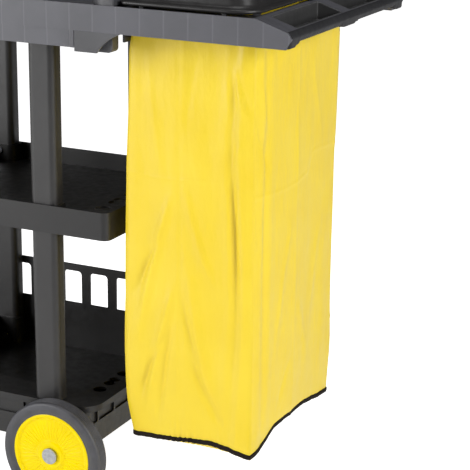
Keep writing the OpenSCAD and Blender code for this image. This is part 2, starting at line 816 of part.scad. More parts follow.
// Plan of the lid, drawn in by an inset
module lid_outline(inset) {
    rounded_ends(lid_x0 + inset, lid_x1 - inset, -lid_half_w + inset, lid_half_w - inset,
        12, lid_corner_r - inset * 0.5);
}

module lid_layer(inset, z0, z1) {
    translate([0, 0, z0]) linear_extrude(z1 - z0) lid_outline(inset);
}

module lid_shell() {
    z1 = lid_z + flange_h;
    step = dome_h / 3;
    color(dark) difference() {
        union() {
            lid_layer(0, lid_z, z1);
            for (i = [0 : 2]) lid_layer(dome_inset * (1 + i), z1 + i * step - eps, z1 + (i + 1) * step);
            // Lift tab
            slab(lid_x1 - 20, lid_x1 + 8, -40, 40, lid_z, lid_z + 4, 4);
            // Hinge arms
            for (side = [left, right]) {
                y0 = side * knuckle_y - knuckle_half;
                y1 = side * knuckle_y + knuckle_half;
                rod_y(hinge_x, y0, y1, hinge_z, knuckle_r);
                box(hinge_x, lid_x0 + dome_inset + 2, y0, y1, hinge_z - knuckle_r, hinge_z + 4);
            }
        }
        lid_layer(dome_inset - 2, lid_z - eps, z1 - shell_t);
        for (i = [0 : 2])
            lid_layer(dome_inset * (1 + i) + shell_t, z1 + i * step - shell_t - 2 * eps, z1 + (i + 1) * step - shell_t);
        for (side = [left, right])
            rod_y(hinge_x, side * knuckle_y - pin_half, side * knuckle_y + pin_half, hinge_z, pin_r + pin_gap);
    }
}

module lid_bumpers() {
    color(dark) for (x = [lid_x0 + 40, lid_x1 - lid_corner_r - 10], side = [left, right])
        translate([x, side * (lid_half_w - bumper_r - 1), deck_z + bumper_gap])
            cylinder(h = lid_z - deck_z - bumper_gap, r = bumper_r);
}

// ---------------------------------------------------------------- bag

module waste_bag() {
    color(yellow) union() {
        difference() {
            slab(bag_x0, bag_x1, -bag_half_w, bag_half_w, bag_bottom_z, hem_z, bag_corner_r);
            slab(bag_x0 + bag_t, bag_x1 - bag_t, -bag_half_w + bag_t, bag_half_w - bag_t,
                bag_bottom_z + bag_t, hem_z + eps, bag_corner_r - bag_t);
        }
        // Hem folded over the frame's collar
        difference() {
            union() {
                hem_slab(collar_t + hem_gap + hem_t, hem_z - hem_t, hem_z);
                hem_slab(collar_t + hem_gap + hem_t, deck_z + hem_gap, hem_z);
            }
            hem_slab(collar_t + hem_gap, deck_z, hem_z - hem_t);
            slab(bag_x0 + 1, bag_x1 - 1, -bag_half_w + 1, bag_half_w - 1, deck_z, hem_z + eps, bag_corner_r - 1);
        }
    }
}

module hem_slab(grow, z0, z1) {
    slab(mouth_x0 - grow, mouth_x1 + grow, -mouth_half_w - grow, mouth_half_w + grow, z0, z1,
        bag_corner_r + grow - collar_t);
}

module bag_binding() {
    t = 2;
    color(dark) difference() {
        slab(bag_x0 - t, bag_x1 + t, -bag_half_w - t, bag_half_w + t,
            bag_bottom_z, bag_bottom_z + binding_h, bag_corner_r + t);
        slab(bag_x0, bag_x1, -bag_half_w, bag_half_w, bag_bottom_z - eps, bag_bottom_z + binding_h + eps,
            bag_corner_r);
    }
}

// ---------------------------------------------------------------- rear wheels

module rear_axle() {
    color("silver") rod_y(axle_x, -wheel_y1 - axle_end, wheel_y1 + axle_end, wheel_r, axle_r);
}

module axle_ring(side, y0, y1, r) {
    difference() {
        rod_y(axle_x, side > 0 ? y0 : -y1, side > 0 ? y1 : -y0, wheel_r, r);
        rod_y(axle_x, -half_w, half_w, wheel_r, axle_r + axle_gap);
    }
}

module axle_spacers() {
    color("dimgray") for (side = [left, right])
        axle_ring(side, base_half_w, wheel_y0 + 1.5, axle_r + 5);
}

module axle_caps() {
    foot = wheel_y1 - 1.5;
    tip = wheel_y1 + axle_cap_t;
    color("silver") for (side = [left, right])
        difference() {
            rod_y(axle_x, side > 0 ? foot : -tip, side > 0 ? tip : -foot, wheel_r, axle_cap_r);
            rod_y(axle_x, -wheel_y1 - axle_end, wheel_y1 + axle_end, wheel_r, axle_r);
        }
}

// A solid of revolution on the rear axle, drawn as radius against distance from the inner face
module wheel_turn(side) {
    translate([axle_x, side * wheel_y0, wheel_r]) rotate([side > 0 ? -90 : 90, 0, 0]) rotate_extrude($fn = 96) children();
}

module rear_tyre(side) {
    shoulder = 6;
    color("#3c3c40") wheel_turn(side) difference() {
        union() {
            translate([hub_r, 0]) square([wheel_r - shoulder - hub_r, wheel_w]);
            translate([hub_r, shoulder]) square([wheel_r - hub_r, wheel_w - 2 * shoulder]);
            for (y = [shoulder, wheel_w - shoulder]) translate([wheel_r - shoulder, y]) circle(shoulder);
        }
    }
}

module rear_hub(side) {
    rim_t = 6;
    web_t = 8;
    boss_r = 24;
    color("#ffeb00") wheel_turn(side) union() {
        translate([hub_r - rim_t, 3]) square([rim_t, wheel_w - 6]);
        translate([boss_r - 1, wheel_w - 6 - web_t]) square([hub_r - boss_r - rim_t + 2, web_t]);
        translate([bush_r, 3]) square([boss_r - bush_r, wheel_w - 6]);
    }
}

module rear_bush(side) {
    color("dimgray") wheel_turn(side)
        translate([axle_r + axle_gap, 2]) square([bush_r - axle_r - axle_gap, wheel_w - 4]);
}

// ---------------------------------------------------------------- casters

module caster_plate(side) {
    king_head_r = king_r + 3.5;
    translate([caster_x, side * caster_y, 0]) color("silver") union() {
        difference() {
            slab(-plate_l / 2, plate_l / 2, -plate_w / 2, plate_w / 2, plate_z - plate_t, plate_z, 8);
            for (sx = [-1, 1], sy = [-1, 1])
                translate([sx * plate_bolt_x, sy * plate_bolt_y, plate_z - plate_t - eps])
                    cylinder(h = plate_t + 2 * eps, r = plate_bolt_r + bolt_gap);
        }
        translate([0, 0, crown_z - 1 - 3]) cylinder(h = plate_z - crown_z + 4 - eps, r = king_r);
        translate([0, 0, crown_z - 1 - 3]) cylinder(h = 3, r = king_head_r);
    }
}

module caster_fork(side) {
    race_z = plate_z - plate_t - race_gap;
    translate([caster_x, side * caster_y, 0]) color("silver") difference() {
        union() {
            translate([0, 0, crown_z]) cylinder(h = crown_t, r = crown_r);
            translate([0, 0, crown_z + crown_t - eps]) cylinder(h = race_z - crown_z - crown_t + eps, r = race_r);
            for (y = [-leg_y - leg_t, leg_y])
                along_y(y, y + leg_t) union() {
                    polygon([
                        [-20, crown_z + crown_t],
                        [-20, crown_z - 8],
                        [caster_trail - 12, caster_r - 6],
                        [caster_trail + 12, caster_r - 6],
                        [24, crown_z + crown_t]
                    ]);
                    translate([caster_trail, caster_r]) circle(13);
                }
        }
        translate([0, 0, crown_z - eps]) cylinder(h = race_z, r = king_r + axle_gap);
        rod_y(caster_trail, -caster_w, caster_w, caster_r, caster_axle_r + bolt_gap);
    }
}

module caster_turn(side) {
    translate([caster_x + caster_trail, side * caster_y, caster_r]) rotate([-90, 0, 0]) rotate_extrude($fn = 72)
        children();
}

module caster_tyre(side) {
    r = 5;
    half = caster_w / 2;
    color("#3c3c40") caster_turn(side) union() {
        translate([caster_r - caster_tyre_t, -half]) square([caster_tyre_t - r, caster_w]);
        translate([caster_r - caster_tyre_t, -half + r]) square([caster_tyre_t, caster_w - 2 * r]);
        for (y = [-half + r, half - r]) translate([caster_r - r, y]) circle(r);
    }
}

module caster_hub(side) {
    half = caster_w / 2;
    rim = caster_r - caster_tyre_t;
    color("dimgray") caster_turn(side) union() {
        translate([caster_axle_r + axle_gap, -half]) square([8, caster_w]);
        translate([caster_axle_r + 7, -3]) square([rim - caster_axle_r - 7, 6]);
        translate([rim - 5, -half + 2]) square([5, caster_w - 4]);
    }
}

module caster_axle(side) {
    x = caster_x + caster_trail;
    y = side * caster_y;
    end = leg_y + leg_t;
    color("silver") union() {
        rod_y(x, y - end - 6, y + end, caster_r, caster_axle_r);
        rod_y(x, y + end, y + end + 5, caster_r, 7);
        translate([x, y - end - 6, caster_r]) rotate([-90, 0, 0]) cylinder(h = 6, r = 7.5, $fn = 6);
    }
}

module caster_bolts() {
    color("silver") caster_bolt_places() union() {
        translate([0, 0, plate_z - plate_t - 6]) cylinder(h = base_top_z - plate_z + plate_t + 6, r = plate_bolt_r);
        translate([0, 0, base_top_z]) cylinder(h = 2.5, r = 8);
        translate([0, 0, plate_z - plate_t - 5]) cylinder(h = 5, r = 7.5, $fn = 6);
    }
}

// ---------------------------------------------------------------- tool holders

module tool_hook(side) {
    r = 15;
    color("#3c3c40") translate([0, side * tool_y, 0]) difference() {
        union() {
            box(shelf_front_x - 4, shelf_front_x, -20, 20, side_z + 8, side_z + 36);
            box(tool_x, shelf_front_x - 3, -8, 8, side_z + 14, side_z + 30);
            translate([tool_x, 0, side_z + 14]) cylinder(h = 16, r = r + 4);
        }
        translate([tool_x, 0, side_z]) cylinder(h = side_h, r = r);
        box(tool_x - r - 10, tool_x - 4, -11, 11, side_z, rim_z);
    }
}

module tool_cup(side) {
    color("#3c3c40") translate([tool_x, side * tool_y, base_top_z]) difference() {
        cylinder(h = cup_h, r = cup_r + shell_t);
        translate([0, 0, deck_t]) cylinder(h = cup_h, r = cup_r);
    }
}

base_platform();
lower_shelf();
guard_fence();
lower_post(post_rear_x, left);  // lower_post_rear_left
lower_post(post_rear_x, right);  // lower_post_rear_right
lower_post(post_front_x, left);  // lower_post_front_left
lower_post(post_front_x, right);  // lower_post_front_right
middle_shelf();
upper_post(post_rear_x, left);  // upper_post_rear_left
upper_post(post_rear_x, right);  // upper_post_rear_right
upper_post(post_front_x, left);  // upper_post_front_left
upper_post(post_front_x, right);  // upper_post_front_right
top_tray();
bag_frame();
handle_pockets();
frame_bracket(left);  // frame_bracket_left
frame_bracket(right);  // frame_bracket_right
hinge_rail();
rail_screws();
hinge_pins();
lid_shell();
lid_bumpers();
waste_bag();
bag_binding();
base_bolts();
shelf_bolts();
tray_bolts();
rear_axle();
axle_spacers();
axle_caps();
rear_tyre(left);  // rear_tyre_left
rear_hub(left);  // rear_hub_left
rear_bush(left);  // rear_bush_left
rear_tyre(right);  // rear_tyre_right
rear_hub(right);  // rear_hub_right
rear_bush(right);  // rear_bush_right
caster_plate(left);  // caster_plate_left
caster_fork(left);  // caster_fork_left
caster_tyre(left);  // caster_tyre_left
caster_hub(left);  // caster_hub_left
caster_axle(left);  // caster_axle_left
caster_plate(right);  // caster_plate_right
caster_fork(right);  // caster_fork_right
caster_tyre(right);  // caster_tyre_right
caster_hub(right);  // caster_hub_right
caster_axle(right);  // caster_axle_right
caster_bolts();
tool_hook(left);  // tool_hook_left
tool_hook(right);  // tool_hook_right
tool_cup(left);  // tool_cup_left
tool_cup(right);  // tool_cup_right
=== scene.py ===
"""Looks of a housekeeping cart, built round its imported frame.

Sizes are in millimetres and are turned into metres when a mesh is made. +X runs
towards the push handle, +Y towards the fenced side and +Z up.
"""

import json
import logging
import math
from dataclasses import dataclass
from enum import Enum

import bmesh
import bpy
import numpy as np
from mathutils import Matrix, Vector


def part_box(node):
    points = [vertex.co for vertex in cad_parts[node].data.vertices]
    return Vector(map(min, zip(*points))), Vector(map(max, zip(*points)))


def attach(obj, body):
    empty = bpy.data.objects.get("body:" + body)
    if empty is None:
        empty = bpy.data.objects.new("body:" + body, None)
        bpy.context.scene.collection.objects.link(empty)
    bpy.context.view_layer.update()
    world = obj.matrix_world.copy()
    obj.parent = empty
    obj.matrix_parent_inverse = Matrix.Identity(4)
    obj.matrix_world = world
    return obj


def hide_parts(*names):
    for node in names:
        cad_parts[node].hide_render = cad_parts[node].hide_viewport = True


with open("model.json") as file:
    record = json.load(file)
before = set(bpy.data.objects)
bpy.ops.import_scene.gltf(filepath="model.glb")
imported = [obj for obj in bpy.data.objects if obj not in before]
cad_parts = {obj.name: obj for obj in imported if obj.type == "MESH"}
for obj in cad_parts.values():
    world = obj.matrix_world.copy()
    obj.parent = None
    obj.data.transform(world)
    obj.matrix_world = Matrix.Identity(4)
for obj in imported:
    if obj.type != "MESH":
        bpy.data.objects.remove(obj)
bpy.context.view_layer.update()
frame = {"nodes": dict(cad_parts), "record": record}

MM = 0.001
WELD = 0.04 * MM
FLAT = math.radians(0.6)
LOG = logging.getLogger("cart")
Link = bpy.types.NodeSocket | bpy.types.Node


# ---------------------------------------------------------------- numbers


def linear(code: str) -> tuple[float, float, float, float]:
    """Turns an sRGB hex colour into linear light.

    Args:
        code: Six hex digits after a hash.

    Returns:
        Red, green, blue and alpha from 0 to 1.
    """
    parts = [int(code[i : i + 2], 16) / 255 for i in (1, 3, 5)]
    light = [c / 12.92 if c <= 0.04045 else ((c + 0.055) / 1.055) ** 2.4 for c in parts]
    return (*light, 1.0)


def cad_box(node: str) -> tuple[np.ndarray, np.ndarray]:
    """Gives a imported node's lowest and highest corners in millimetres."""
    low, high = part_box(node)
    return np.array(low) / MM, np.array(high) / MM


def bell(x: np.ndarray, centre: float, width: float) -> np.ndarray:
    """A bell curve: one at the centre, falling with the square of the distance over the width."""
    return np.exp(-(((x - centre) / width) ** 2))


def ridge(x: np.ndarray, centre: np.ndarray | float, width: float) -> np.ndarray:
    """A sharp ridge: one at the centre, falling off exponentially on both sides."""
    return np.exp(-np.abs(x - centre) / width)


def tent(x: np.ndarray, centre: np.ndarray | float, half: float) -> np.ndarray:
    """A tent: one at the centre, falling straight to nothing at the half width."""
    return np.clip(1 - np.abs(x - centre) / half, 0, 1)


def ease(x: np.ndarray) -> np.ndarray:
    """A smooth step from nothing at 0 to one at 1: three squares less two cubes."""
    t = np.clip(x, 0, 1)
    return t * t * (3 - 2 * t)


def through(x: np.ndarray, knots: list[float], values: list[float]) -> np.ndarray:
    """Draws a smooth curve through a few values, with cubic pieces that share slopes.

    Args:
        x: Where the curve is wanted.
        knots: Rising places of the given values.
        values: The curve's values there.

    Returns:
        The curve at x. Outside the knots it keeps its end value.
    """
    at, to = np.array(knots, float), np.array(values, float)
    slope = np.gradient(to, at)
    x = np.clip(x, at[0], at[-1])
    i = np.clip(np.searchsorted(at, x) - 1, 0, len(at) - 2)
    h = at[i + 1] - at[i]
    t = (x - at[i]) / h
    return (
        (1 + 2 * t) * (1 - t) ** 2 * to[i]
        + t * (1 - t) ** 2 * h * slope[i]
        + t * t * (3 - 2 * t) * to[i + 1]
        + t * t * (t - 1) * h * slope[i + 1]
    )


# ---------------------------------------------------------------- finishes


def wire(tree: bpy.types.NodeTree, kind: str, inputs: dict | None = None, **settings: str) -> bpy.types.Node:
    """Adds one node, sets it and links it.

    Args:
        tree: The material's node tree.
        kind: The node's type, less the word that all of them start with.
        inputs: Values, sockets or nodes for its inputs, by name or number. A node gives its first output.
        settings: Values of the node's own properties.

    Returns:
        The new node.
    """
    made = tree.nodes.new("ShaderNode" + kind)
    for key, value in settings.items():
        setattr(made, key, value)
    for key, value in (inputs or {}).items():
        source = value.outputs[0] if isinstance(value, bpy.types.Node) else value
        if isinstance(source, bpy.types.NodeSocket):
            tree.links.new(source, made.inputs[key])
        else:
            made.inputs[key].default_value = source
    return made


def spots(place: Link, size_mm: float, detail: float) -> dict:
    """Inputs of a noise whose features are about this many millimetres across."""
    return {"Vector": place, "Scale": 1 / (size_mm * MM), "Detail": detail}


def lines(place: Link, pitch_mm: float, distortion: float = 0.0) -> dict:
    """Inputs of a wave whose bands are this many millimetres apart."""
    return {"Vector": place, "Scale": 2 * math.pi / (20 * pitch_mm * MM), "Distortion": distortion}


def onto(value: Link, low: float, high: float, to_low: float, to_high: float) -> dict:
    """Inputs of a range map: a value, the range it comes from and the range it goes to."""
    return {0: value, 1: low, 2: high, 3: to_low, 4: to_high}


@dataclass(frozen=True)
class Finish:
    """A surface finish, made into a material once."""

    name: str
    colour: str
    roughness: float
    shade_to: str = "#000000"

    def material(self) -> bpy.types.Material:
        """Gives the finish's material and makes it at the first call.

        Returns:
            The material.
        """
        found = bpy.data.materials.get(self.name)
        if found:
            return found
        made = bpy.data.materials.new(self.name)
        made.use_nodes = True
        made.node_tree.nodes.clear()
        wire(made.node_tree, "OutputMaterial", {"Surface": self.shade(made.node_tree)})
        return made

    def shade(self, tree: bpy.types.NodeTree) -> bpy.types.Node:
        """Builds the nodes and returns the shader."""
        raise NotImplementedError

    def edge_with_painted_highlight(self) -> "Finish":
        """The finish of softened edges, which is the same unless a kind paints a highlight on them."""
        return self

    def mottled(self, tree: bpy.types.NodeTree, noise: Link, low: float, high: float) -> Link:
        """Wanders between the finish's two colours.

        Args:
            tree: The material's node tree.
            noise: What the colour follows.
            low: The noise at which the first colour is plain.
            high: The noise at which the second colour is plain.

        Returns:
            The colour.
        """
        share = wire(tree, "MapRange", onto(noise, low, high, 0, 1))
        both = {0: share, 6: linear(self.colour), 7: linear(self.shade_to)}
        return wire(tree, "Mix", both, data_type="RGBA").outputs[2]

    def uneven(self, tree: bpy.types.NodeTree, noise: Link, less: float, more: float) -> bpy.types.Node:
        """Roughness that wanders from a little less than the finish's own to a little more."""
        return wire(tree, "MapRange", onto(noise, 0.3, 0.7, self.roughness - less, self.roughness + more))


@dataclass(frozen=True)
class MouldedPlastic(Finish):
    """Injection-moulded polyethylene or polypropylene.

    A spark-eroded mould leaves a fine grain that spreads the gloss, the colour is
    mottled a little where the melt has flowed, and edges are smoother, with a paler painted highlight.
    """

    # Colour of the painted highlight on softened edges and on sink lines; none if empty
    edge: str = ""
    grain_mm: float = 1.6
    grain_depth: float = 0.12
    flow_mm: float = 70.0
    gloss: float = 0.5
    sink_from: float | None = None
    sink_pitch: float = 44.0

    def shade(self, tree: bpy.types.NodeTree) -> bpy.types.Node:
        """Mottled colour, uneven gloss, a grained bump and sink lines over the ribs, painted a little paler
        as a highlight.

        Args:
            tree: The material's node tree.

        Returns:
            The shader.
        """
        place = wire(tree, "TexCoord").outputs["Object"]
        flow = wire(tree, "TexNoise", spots(place, self.flow_mm, 3))
        rub = wire(tree, "TexNoise", spots(place, 14.0, 4))
        colour = self.mottled(tree, flow, 0.3, 0.7)
        # The grain is 0.4 mm across and is drawn coarser so that it shows.
        height = wire(tree, "TexNoise", spots(place, self.grain_mm, 2))
        if self.sink_from is not None:
            line = self.sink_lines(tree, place)
            dip = wire(tree, "Math", {0: line, 1: 2.5}, operation="MULTIPLY")
            height = wire(tree, "Math", {0: height, 1: dip}, operation="SUBTRACT")
            # Painted highlight: the sink lines are painted a little paler, towards the edge highlight colour
            share = wire(tree, "Math", {0: line, 1: 0.35}, operation="MULTIPLY")
            both = {0: share, 6: colour, 7: linear(self.edge or self.colour)}
            colour = wire(tree, "Mix", both, data_type="RGBA").outputs[2]
        bump = wire(tree, "Bump", {"Strength": self.grain_depth, "Distance": 0.3 * MM, "Height": height})
        inputs = {
            "Base Color": colour,
            "Roughness": self.uneven(tree, rub, 0.06, 0.08),
            "Normal": bump,
            "IOR": 1.5,
            "Specular IOR Level": self.gloss,
        }
        return wire(tree, "BsdfPrincipled", inputs)

    def sink_lines(self, tree: bpy.types.NodeTree, place: Link) -> bpy.types.Node:
        """Narrow upright lines at an even pitch, only on faces that look along Y.

        Args:
            tree: The material's node tree.
            place: The piece's own coordinates.

        Returns:
            The lines' strength, up to one.
        """
        inputs = lines(place, self.sink_pitch)
        inputs["Phase Offset"] = math.pi - 20 * inputs["Scale"] * self.sink_from * MM
        bands = wire(tree, "TexWave", inputs, bands_direction="X")
        line = wire(tree, "MapRange", onto(bands.outputs["Fac"], 0.985, 1.0, 0, 1))
        normal = wire(tree, "NewGeometry").outputs["Normal"]
        across = wire(tree, "SeparateXYZ", {0: normal}).outputs["Y"]
        either_way = wire(tree, "Math", {0: across}, operation="ABSOLUTE")
        facing = wire(tree, "MapRange", onto(either_way, 0.85, 0.95, 0, 1))
        return wire(tree, "Math", {0: line, 1: facing}, operation="MULTIPLY")

    def edge_with_painted_highlight(self) -> Finish:
        """Softened edges are smoother and hardly grained, and painted paler as a highlight.

        Returns:
            The edges' own finish.
        """
        if not self.edge:
            return self
        return MouldedPlastic(
            self.name + "_edge",
            self.edge,
            self.roughness - 0.1,
            shade_to=self.colour,
            grain_mm=self.grain_mm,
            grain_depth=self.grain_depth * 0.4,
            flow_mm=12.0,
        )


@dataclass(frozen=True)
class CoatedNylon(Finish):
    """Woven nylon with a thin coating: slightly glossy, crisply creased, faintly ribbed by its threads."""

    thread_mm: float = 1.5
    crumple_mm: float = 34.0

    def shade(self, tree: bpy.types.NodeTree) -> bpy.types.Node:
        """Colour that drifts over the cloth, a plain weave and soft crumpling that follows the drop.

        Args:
            tree: The material's node tree.

        Returns:
            The shader.
        """
        cloth = wire(tree, "UVMap", uv_map="cloth")
        drift = wire(tree, "TexNoise", spots(cloth, 120.0, 3))
        # Threads are 0.35 mm apart and are drawn at four times that.
        threads = lines(cloth, self.thread_mm)
        warp, weft = (wire(tree, "TexWave", threads, bands_direction=way) for way in "XY")
        weave = wire(tree, "Math", {0: warp.outputs["Fac"], 1: weft.outputs["Fac"]}, operation="ADD")
        drop = wire(tree, "Mapping", {"Vector": cloth, "Scale": (1.0, 0.35, 1.0)})
        crumple = wire(tree, "TexNoise", spots(drop, self.crumple_mm, 4))
        soft = wire(tree, "Bump", {"Strength": 0.85, "Distance": 3.8 * MM, "Height": crumple})
        fine = wire(tree, "Bump", {"Strength": 0.12, "Distance": 0.12 * MM, "Height": weave, "Normal": soft})
        inputs = {
            "Base Color": self.mottled(tree, drift, 0.3, 0.7),
            "Roughness": self.uneven(tree, crumple, 0.05, 0.07),
            "Normal": fine,
            "IOR": 1.5,
            "Specular IOR Level": 0.5,
            "Sheen Weight": 0.1,
            "Sheen Roughness": 0.4,
        }
        return wire(tree, "BsdfPrincipled", inputs)


@dataclass(frozen=True)
class WovenTape(Finish):
    """Polyester binding tape: matt, with ribs across it."""

    rib_mm: float = 1.4

    def shade(self, tree: bpy.types.NodeTree) -> bpy.types.Node:
        """Ribs across the tape's run and a dusty mottle.

        Args:
            tree: The material's node tree.

        Returns:
            The shader.
        """
        run = wire(tree, "UVMap", uv_map="cloth")
        ribs = wire(tree, "TexWave", lines(run, self.rib_mm, 1.5), bands_direction="X")
        dust = wire(tree, "TexNoise", spots(run, 9.0, 3))
        bump = wire(tree, "Bump", {"Strength": 0.5, "Distance": 0.3 * MM, "Height": ribs.outputs["Fac"]})
        inputs = {
            "Base Color": self.mottled(tree, dust, 0.35, 0.7),
            "Roughness": self.roughness,
            "Normal": bump,
            "Specular IOR Level": 0.2,
        }
        return wire(tree, "BsdfPrincipled", inputs)


@dataclass(frozen=True)
class Rubber(Finish):
    """Moulded rubber: matt grey-black, dusted paler where it has been handled and run."""

    def shade(self, tree: bpy.types.NodeTree) -> bpy.types.Node:
        """Dusty mottle with a very fine pitted bump.

        Args:
            tree: The material's node tree.

        Returns:
            The shader.
        """
        place = wire(tree, "TexCoord").outputs["Object"]
        dust = wire(tree, "TexNoise", spots(place, 22.0, 5))
        pits = wire(tree, "TexNoise", spots(place, 1.2, 2))
        inputs = {
            "Base Color": self.mottled(tree, dust, 0.35, 0.7),
            "Roughness": self.uneven(tree, dust, 0.08, 0.08),
            "Normal": wire(tree, "Bump", {"Strength": 0.15, "Distance": 0.2 * MM, "Height": pits}),
            "IOR": 1.52,
        }
        return wire(tree, "BsdfPrincipled", inputs)


@dataclass(frozen=True)
class ZincSteel(Finish):
    """Zinc-plated pressed steel: a soft grey shine with faint blotches of the plating."""

    def shade(self, tree: bpy.types.NodeTree) -> bpy.types.Node:
        """Blotched metal whose gloss changes with the blotches.

        Args:
            tree: The material's node tree.

        Returns:
            The shader.
        """
        place = wire(tree, "TexCoord").outputs["Object"]
        blotch = wire(tree, "TexNoise", spots(place, 7.0, 3))
        inputs = {
            "Base Color": self.mottled(tree, blotch, 0.35, 0.65),
            "Roughness": self.uneven(tree, blotch, 0.08, 0.1),
            "Metallic": 1.0,
        }
        return wire(tree, "BsdfPrincipled", inputs)


@dataclass(frozen=True)
class LitFloor(Finish):
    """A matt white studio floor that glows, more to the camera than to the object on it."""

    glow: float = 0.42
    seen: float = 1.0

    def shade(self, tree: bpy.types.NodeTree) -> bpy.types.Node:
        """Plain white with an even glow.

        Args:
            tree: The material's node tree.

        Returns:
            The shader.
        """
        direct = wire(tree, "LightPath").outputs["Is Camera Ray"]
        inputs = {
            "Base Color": linear(self.colour),
            "Roughness": self.roughness,
            "Specular IOR Level": 0.1,
            "Emission Color": linear("#ffffff"),
            "Emission Strength": wire(tree, "MapRange", onto(direct, 0, 1, self.glow, self.seen)),
        }
        return wire(tree, "BsdfPrincipled", inputs)


class Slot(Enum):
    """The record's material slots."""

    FRAME = "frame_plastic"
    SHELF = "shelf_plastic"
    POST = "post_plastic"
    DARK = "dark_plastic"
    BAG = "bag_fabric"
    TAPE = "binding_tape"
    STEEL = "zinc_steel"
    BUSH = "bush_plastic"
    TYRE = "tyre_rubber"
    HUB = "hub_plastic"
    BUMPER = "bumper_rubber"


# A plastic's colours: its own, a second it mottles to, and a paler painted highlight for its softened edges
FINISHES: dict[Slot, Finish] = {
    Slot.FRAME: MouldedPlastic("moulded_charcoal", "#454548", 0.42, "#3d3d40", "#626267"),
    Slot.SHELF: MouldedPlastic("moulded_black_shelf", "#1b1a1a", 0.4, "#171616", "#393837"),
    Slot.POST: MouldedPlastic("post_black", "#2a2929", 0.42, "#242323", "#3f3e3e"),
    Slot.DARK: MouldedPlastic("moulded_black", "#262525", 0.38, "#201f1f", "#3a3a3a"),
    Slot.BAG: CoatedNylon("coated_yellow_nylon", "#e8cc2a", 0.42, "#e4c61c"),
    Slot.TAPE: WovenTape("black_binding_tape", "#16100c", 0.9, "#211913"),
    Slot.STEEL: ZincSteel("zinc_plated_steel", "#b4b6b8", 0.34, "#9c9ea2"),
    Slot.BUSH: MouldedPlastic("grey_acetal", "#55565a", 0.4, "#4b4c50", "#6c6d70"),
    Slot.TYRE: Rubber("grey_black_rubber", "#3a3a3e", 0.5, "#48484d"),
    Slot.HUB: MouldedPlastic(
        "gloss_yellow_polypropylene", "#f2d800", 0.3, "#ecd000", "#f6e030", grain_depth=0.04, gloss=0.12
    ),
    Slot.BUMPER: Rubber("soft_black_rubber", "#1f1f20", 0.6, "#2a2a2b"),
}
# Its fifth colour is the painted highlight on its edges and on its sink lines
SIDE_WALL = MouldedPlastic(
    "moulded_charcoal_wall", "#505056", 0.42, "#49494e", "#6a6a71", sink_from=233.0, sink_pitch=44.3
)
GRIP = MouldedPlastic("textured_charcoal_grip", "#29292b", 0.6, "#232325", "#4a4a4c", 2.6, 0.5, gloss=0.25)
POCKET = MouldedPlastic("pocket_charcoal", "#3e3e3e", 0.42, "#373737", "#565658")


# ---------------------------------------------------------------- surfaces


@dataclass
class Surface:
    """Points in millimetres and the faces between them."""

    points: np.ndarray
    faces: list[list[int]]

    def __add__(self, other: "Surface") -> "Surface":
        """Puts another surface's points and faces after this one's.

        Args:
            other: The surface to add.

        Returns:
            Both as one surface.
        """
        shift = len(self.points)
        moved = [[i + shift for i in face] for face in other.faces]
        return Surface(np.vstack([self.points, other.points]), self.faces + moved)


def grid(points: np.ndarray, close_rows: bool = False, close_cols: bool = False) -> Surface:
    """Joins a grid of points with four-sided faces.

    Args:
        points: An array of rows, columns and three coordinates.
        close_rows: Whether the last row joins the first.
        close_cols: Whether the last column joins the first.

    Returns:
        The surface: face (i, j) takes points i, j to i + 1, j + 1, counted round where closed.
    """
    rows, cols = points.shape[:2]
    i = np.arange(rows if close_rows else rows - 1)[:, None]
    j = np.arange(cols if close_cols else cols - 1)[None, :]
    i1, j1 = (i + 1) % rows, (j + 1) % cols
    corners = [i * cols + j, i * cols + j1, i1 * cols + j1, i1 * cols + j]
    quads = np.stack(np.broadcast_arrays(*corners), axis=-1).reshape(-1, 4)
    return Surface(points.reshape(-1, 3), quads.tolist())


def turned(profile: np.ndarray, centre: tuple[float, float], segments: int, closed: bool = True) -> Surface:
    """Turns a profile about a line along Y: x and z are the radius times the angle's cosine and sine.

    Args:
        profile: Pairs of radius and distance along Y.
        centre: X and Z of the line.
        segments: Steps round the turn.
        closed: Whether the profile's last point joins its first.

    Returns:
        The turned surface.
    """
    angle = np.linspace(0, 2 * math.pi, segments, endpoint=False)
    radius, along = profile[:, 0][:, None], profile[:, 1][:, None]
    x = centre[0] + radius * np.cos(angle)
    z = centre[1] + radius * np.sin(angle)
    y = along + np.zeros_like(angle)
    return grid(np.stack([x, y, z], axis=-1), close_rows=closed, close_cols=True)


def extruded(outline: np.ndarray, y0: float, y1: float) -> Surface:
    """Carries a closed outline in X and Z straight along Y, and closes both ends.

    Args:
        outline: Pairs of x and z.
        y0: Where it starts.
        y1: Where it ends.

    Returns:
        The closed surface.
    """
    ends = [np.column_stack([outline[:, 0], np.full(len(outline), y), outline[:, 1]]) for y in (y0, y1)]
    body = grid(np.stack(ends), close_cols=True)
    n = len(outline)
    body.faces += [list(range(n - 1, -1, -1)), list(range(n, 2 * n))]
    return body


def tube(path: np.ndarray, radius: float, sides: int = 6) -> Surface:
    """Sweeps a round section along a path: each ring stands square to the path there.

    Args:
        path: Points of the centre line.
        radius: Radius of the section.
        sides: Corners of the section.

    Returns:
        The tube, drawn to a point at both ends.
    """
    ahead = np.gradient(path, axis=0)
    ahead /= np.linalg.norm(ahead, axis=1, keepdims=True)
    side = np.cross(ahead, [0.31, 0.17, 0.93])
    side /= np.linalg.norm(side, axis=1, keepdims=True)
    up = np.cross(side, ahead)
    angle = np.linspace(0, 2 * math.pi, sides, endpoint=False)
    width = radius * np.concatenate([[0.05], np.ones(len(path) - 2), [0.05]])[:, None, None]
    ring = np.cos(angle)[None, :, None] * side[:, None] + np.sin(angle)[None, :, None] * up[:, None]
    return grid(path[:, None] + width * ring, close_cols=True)


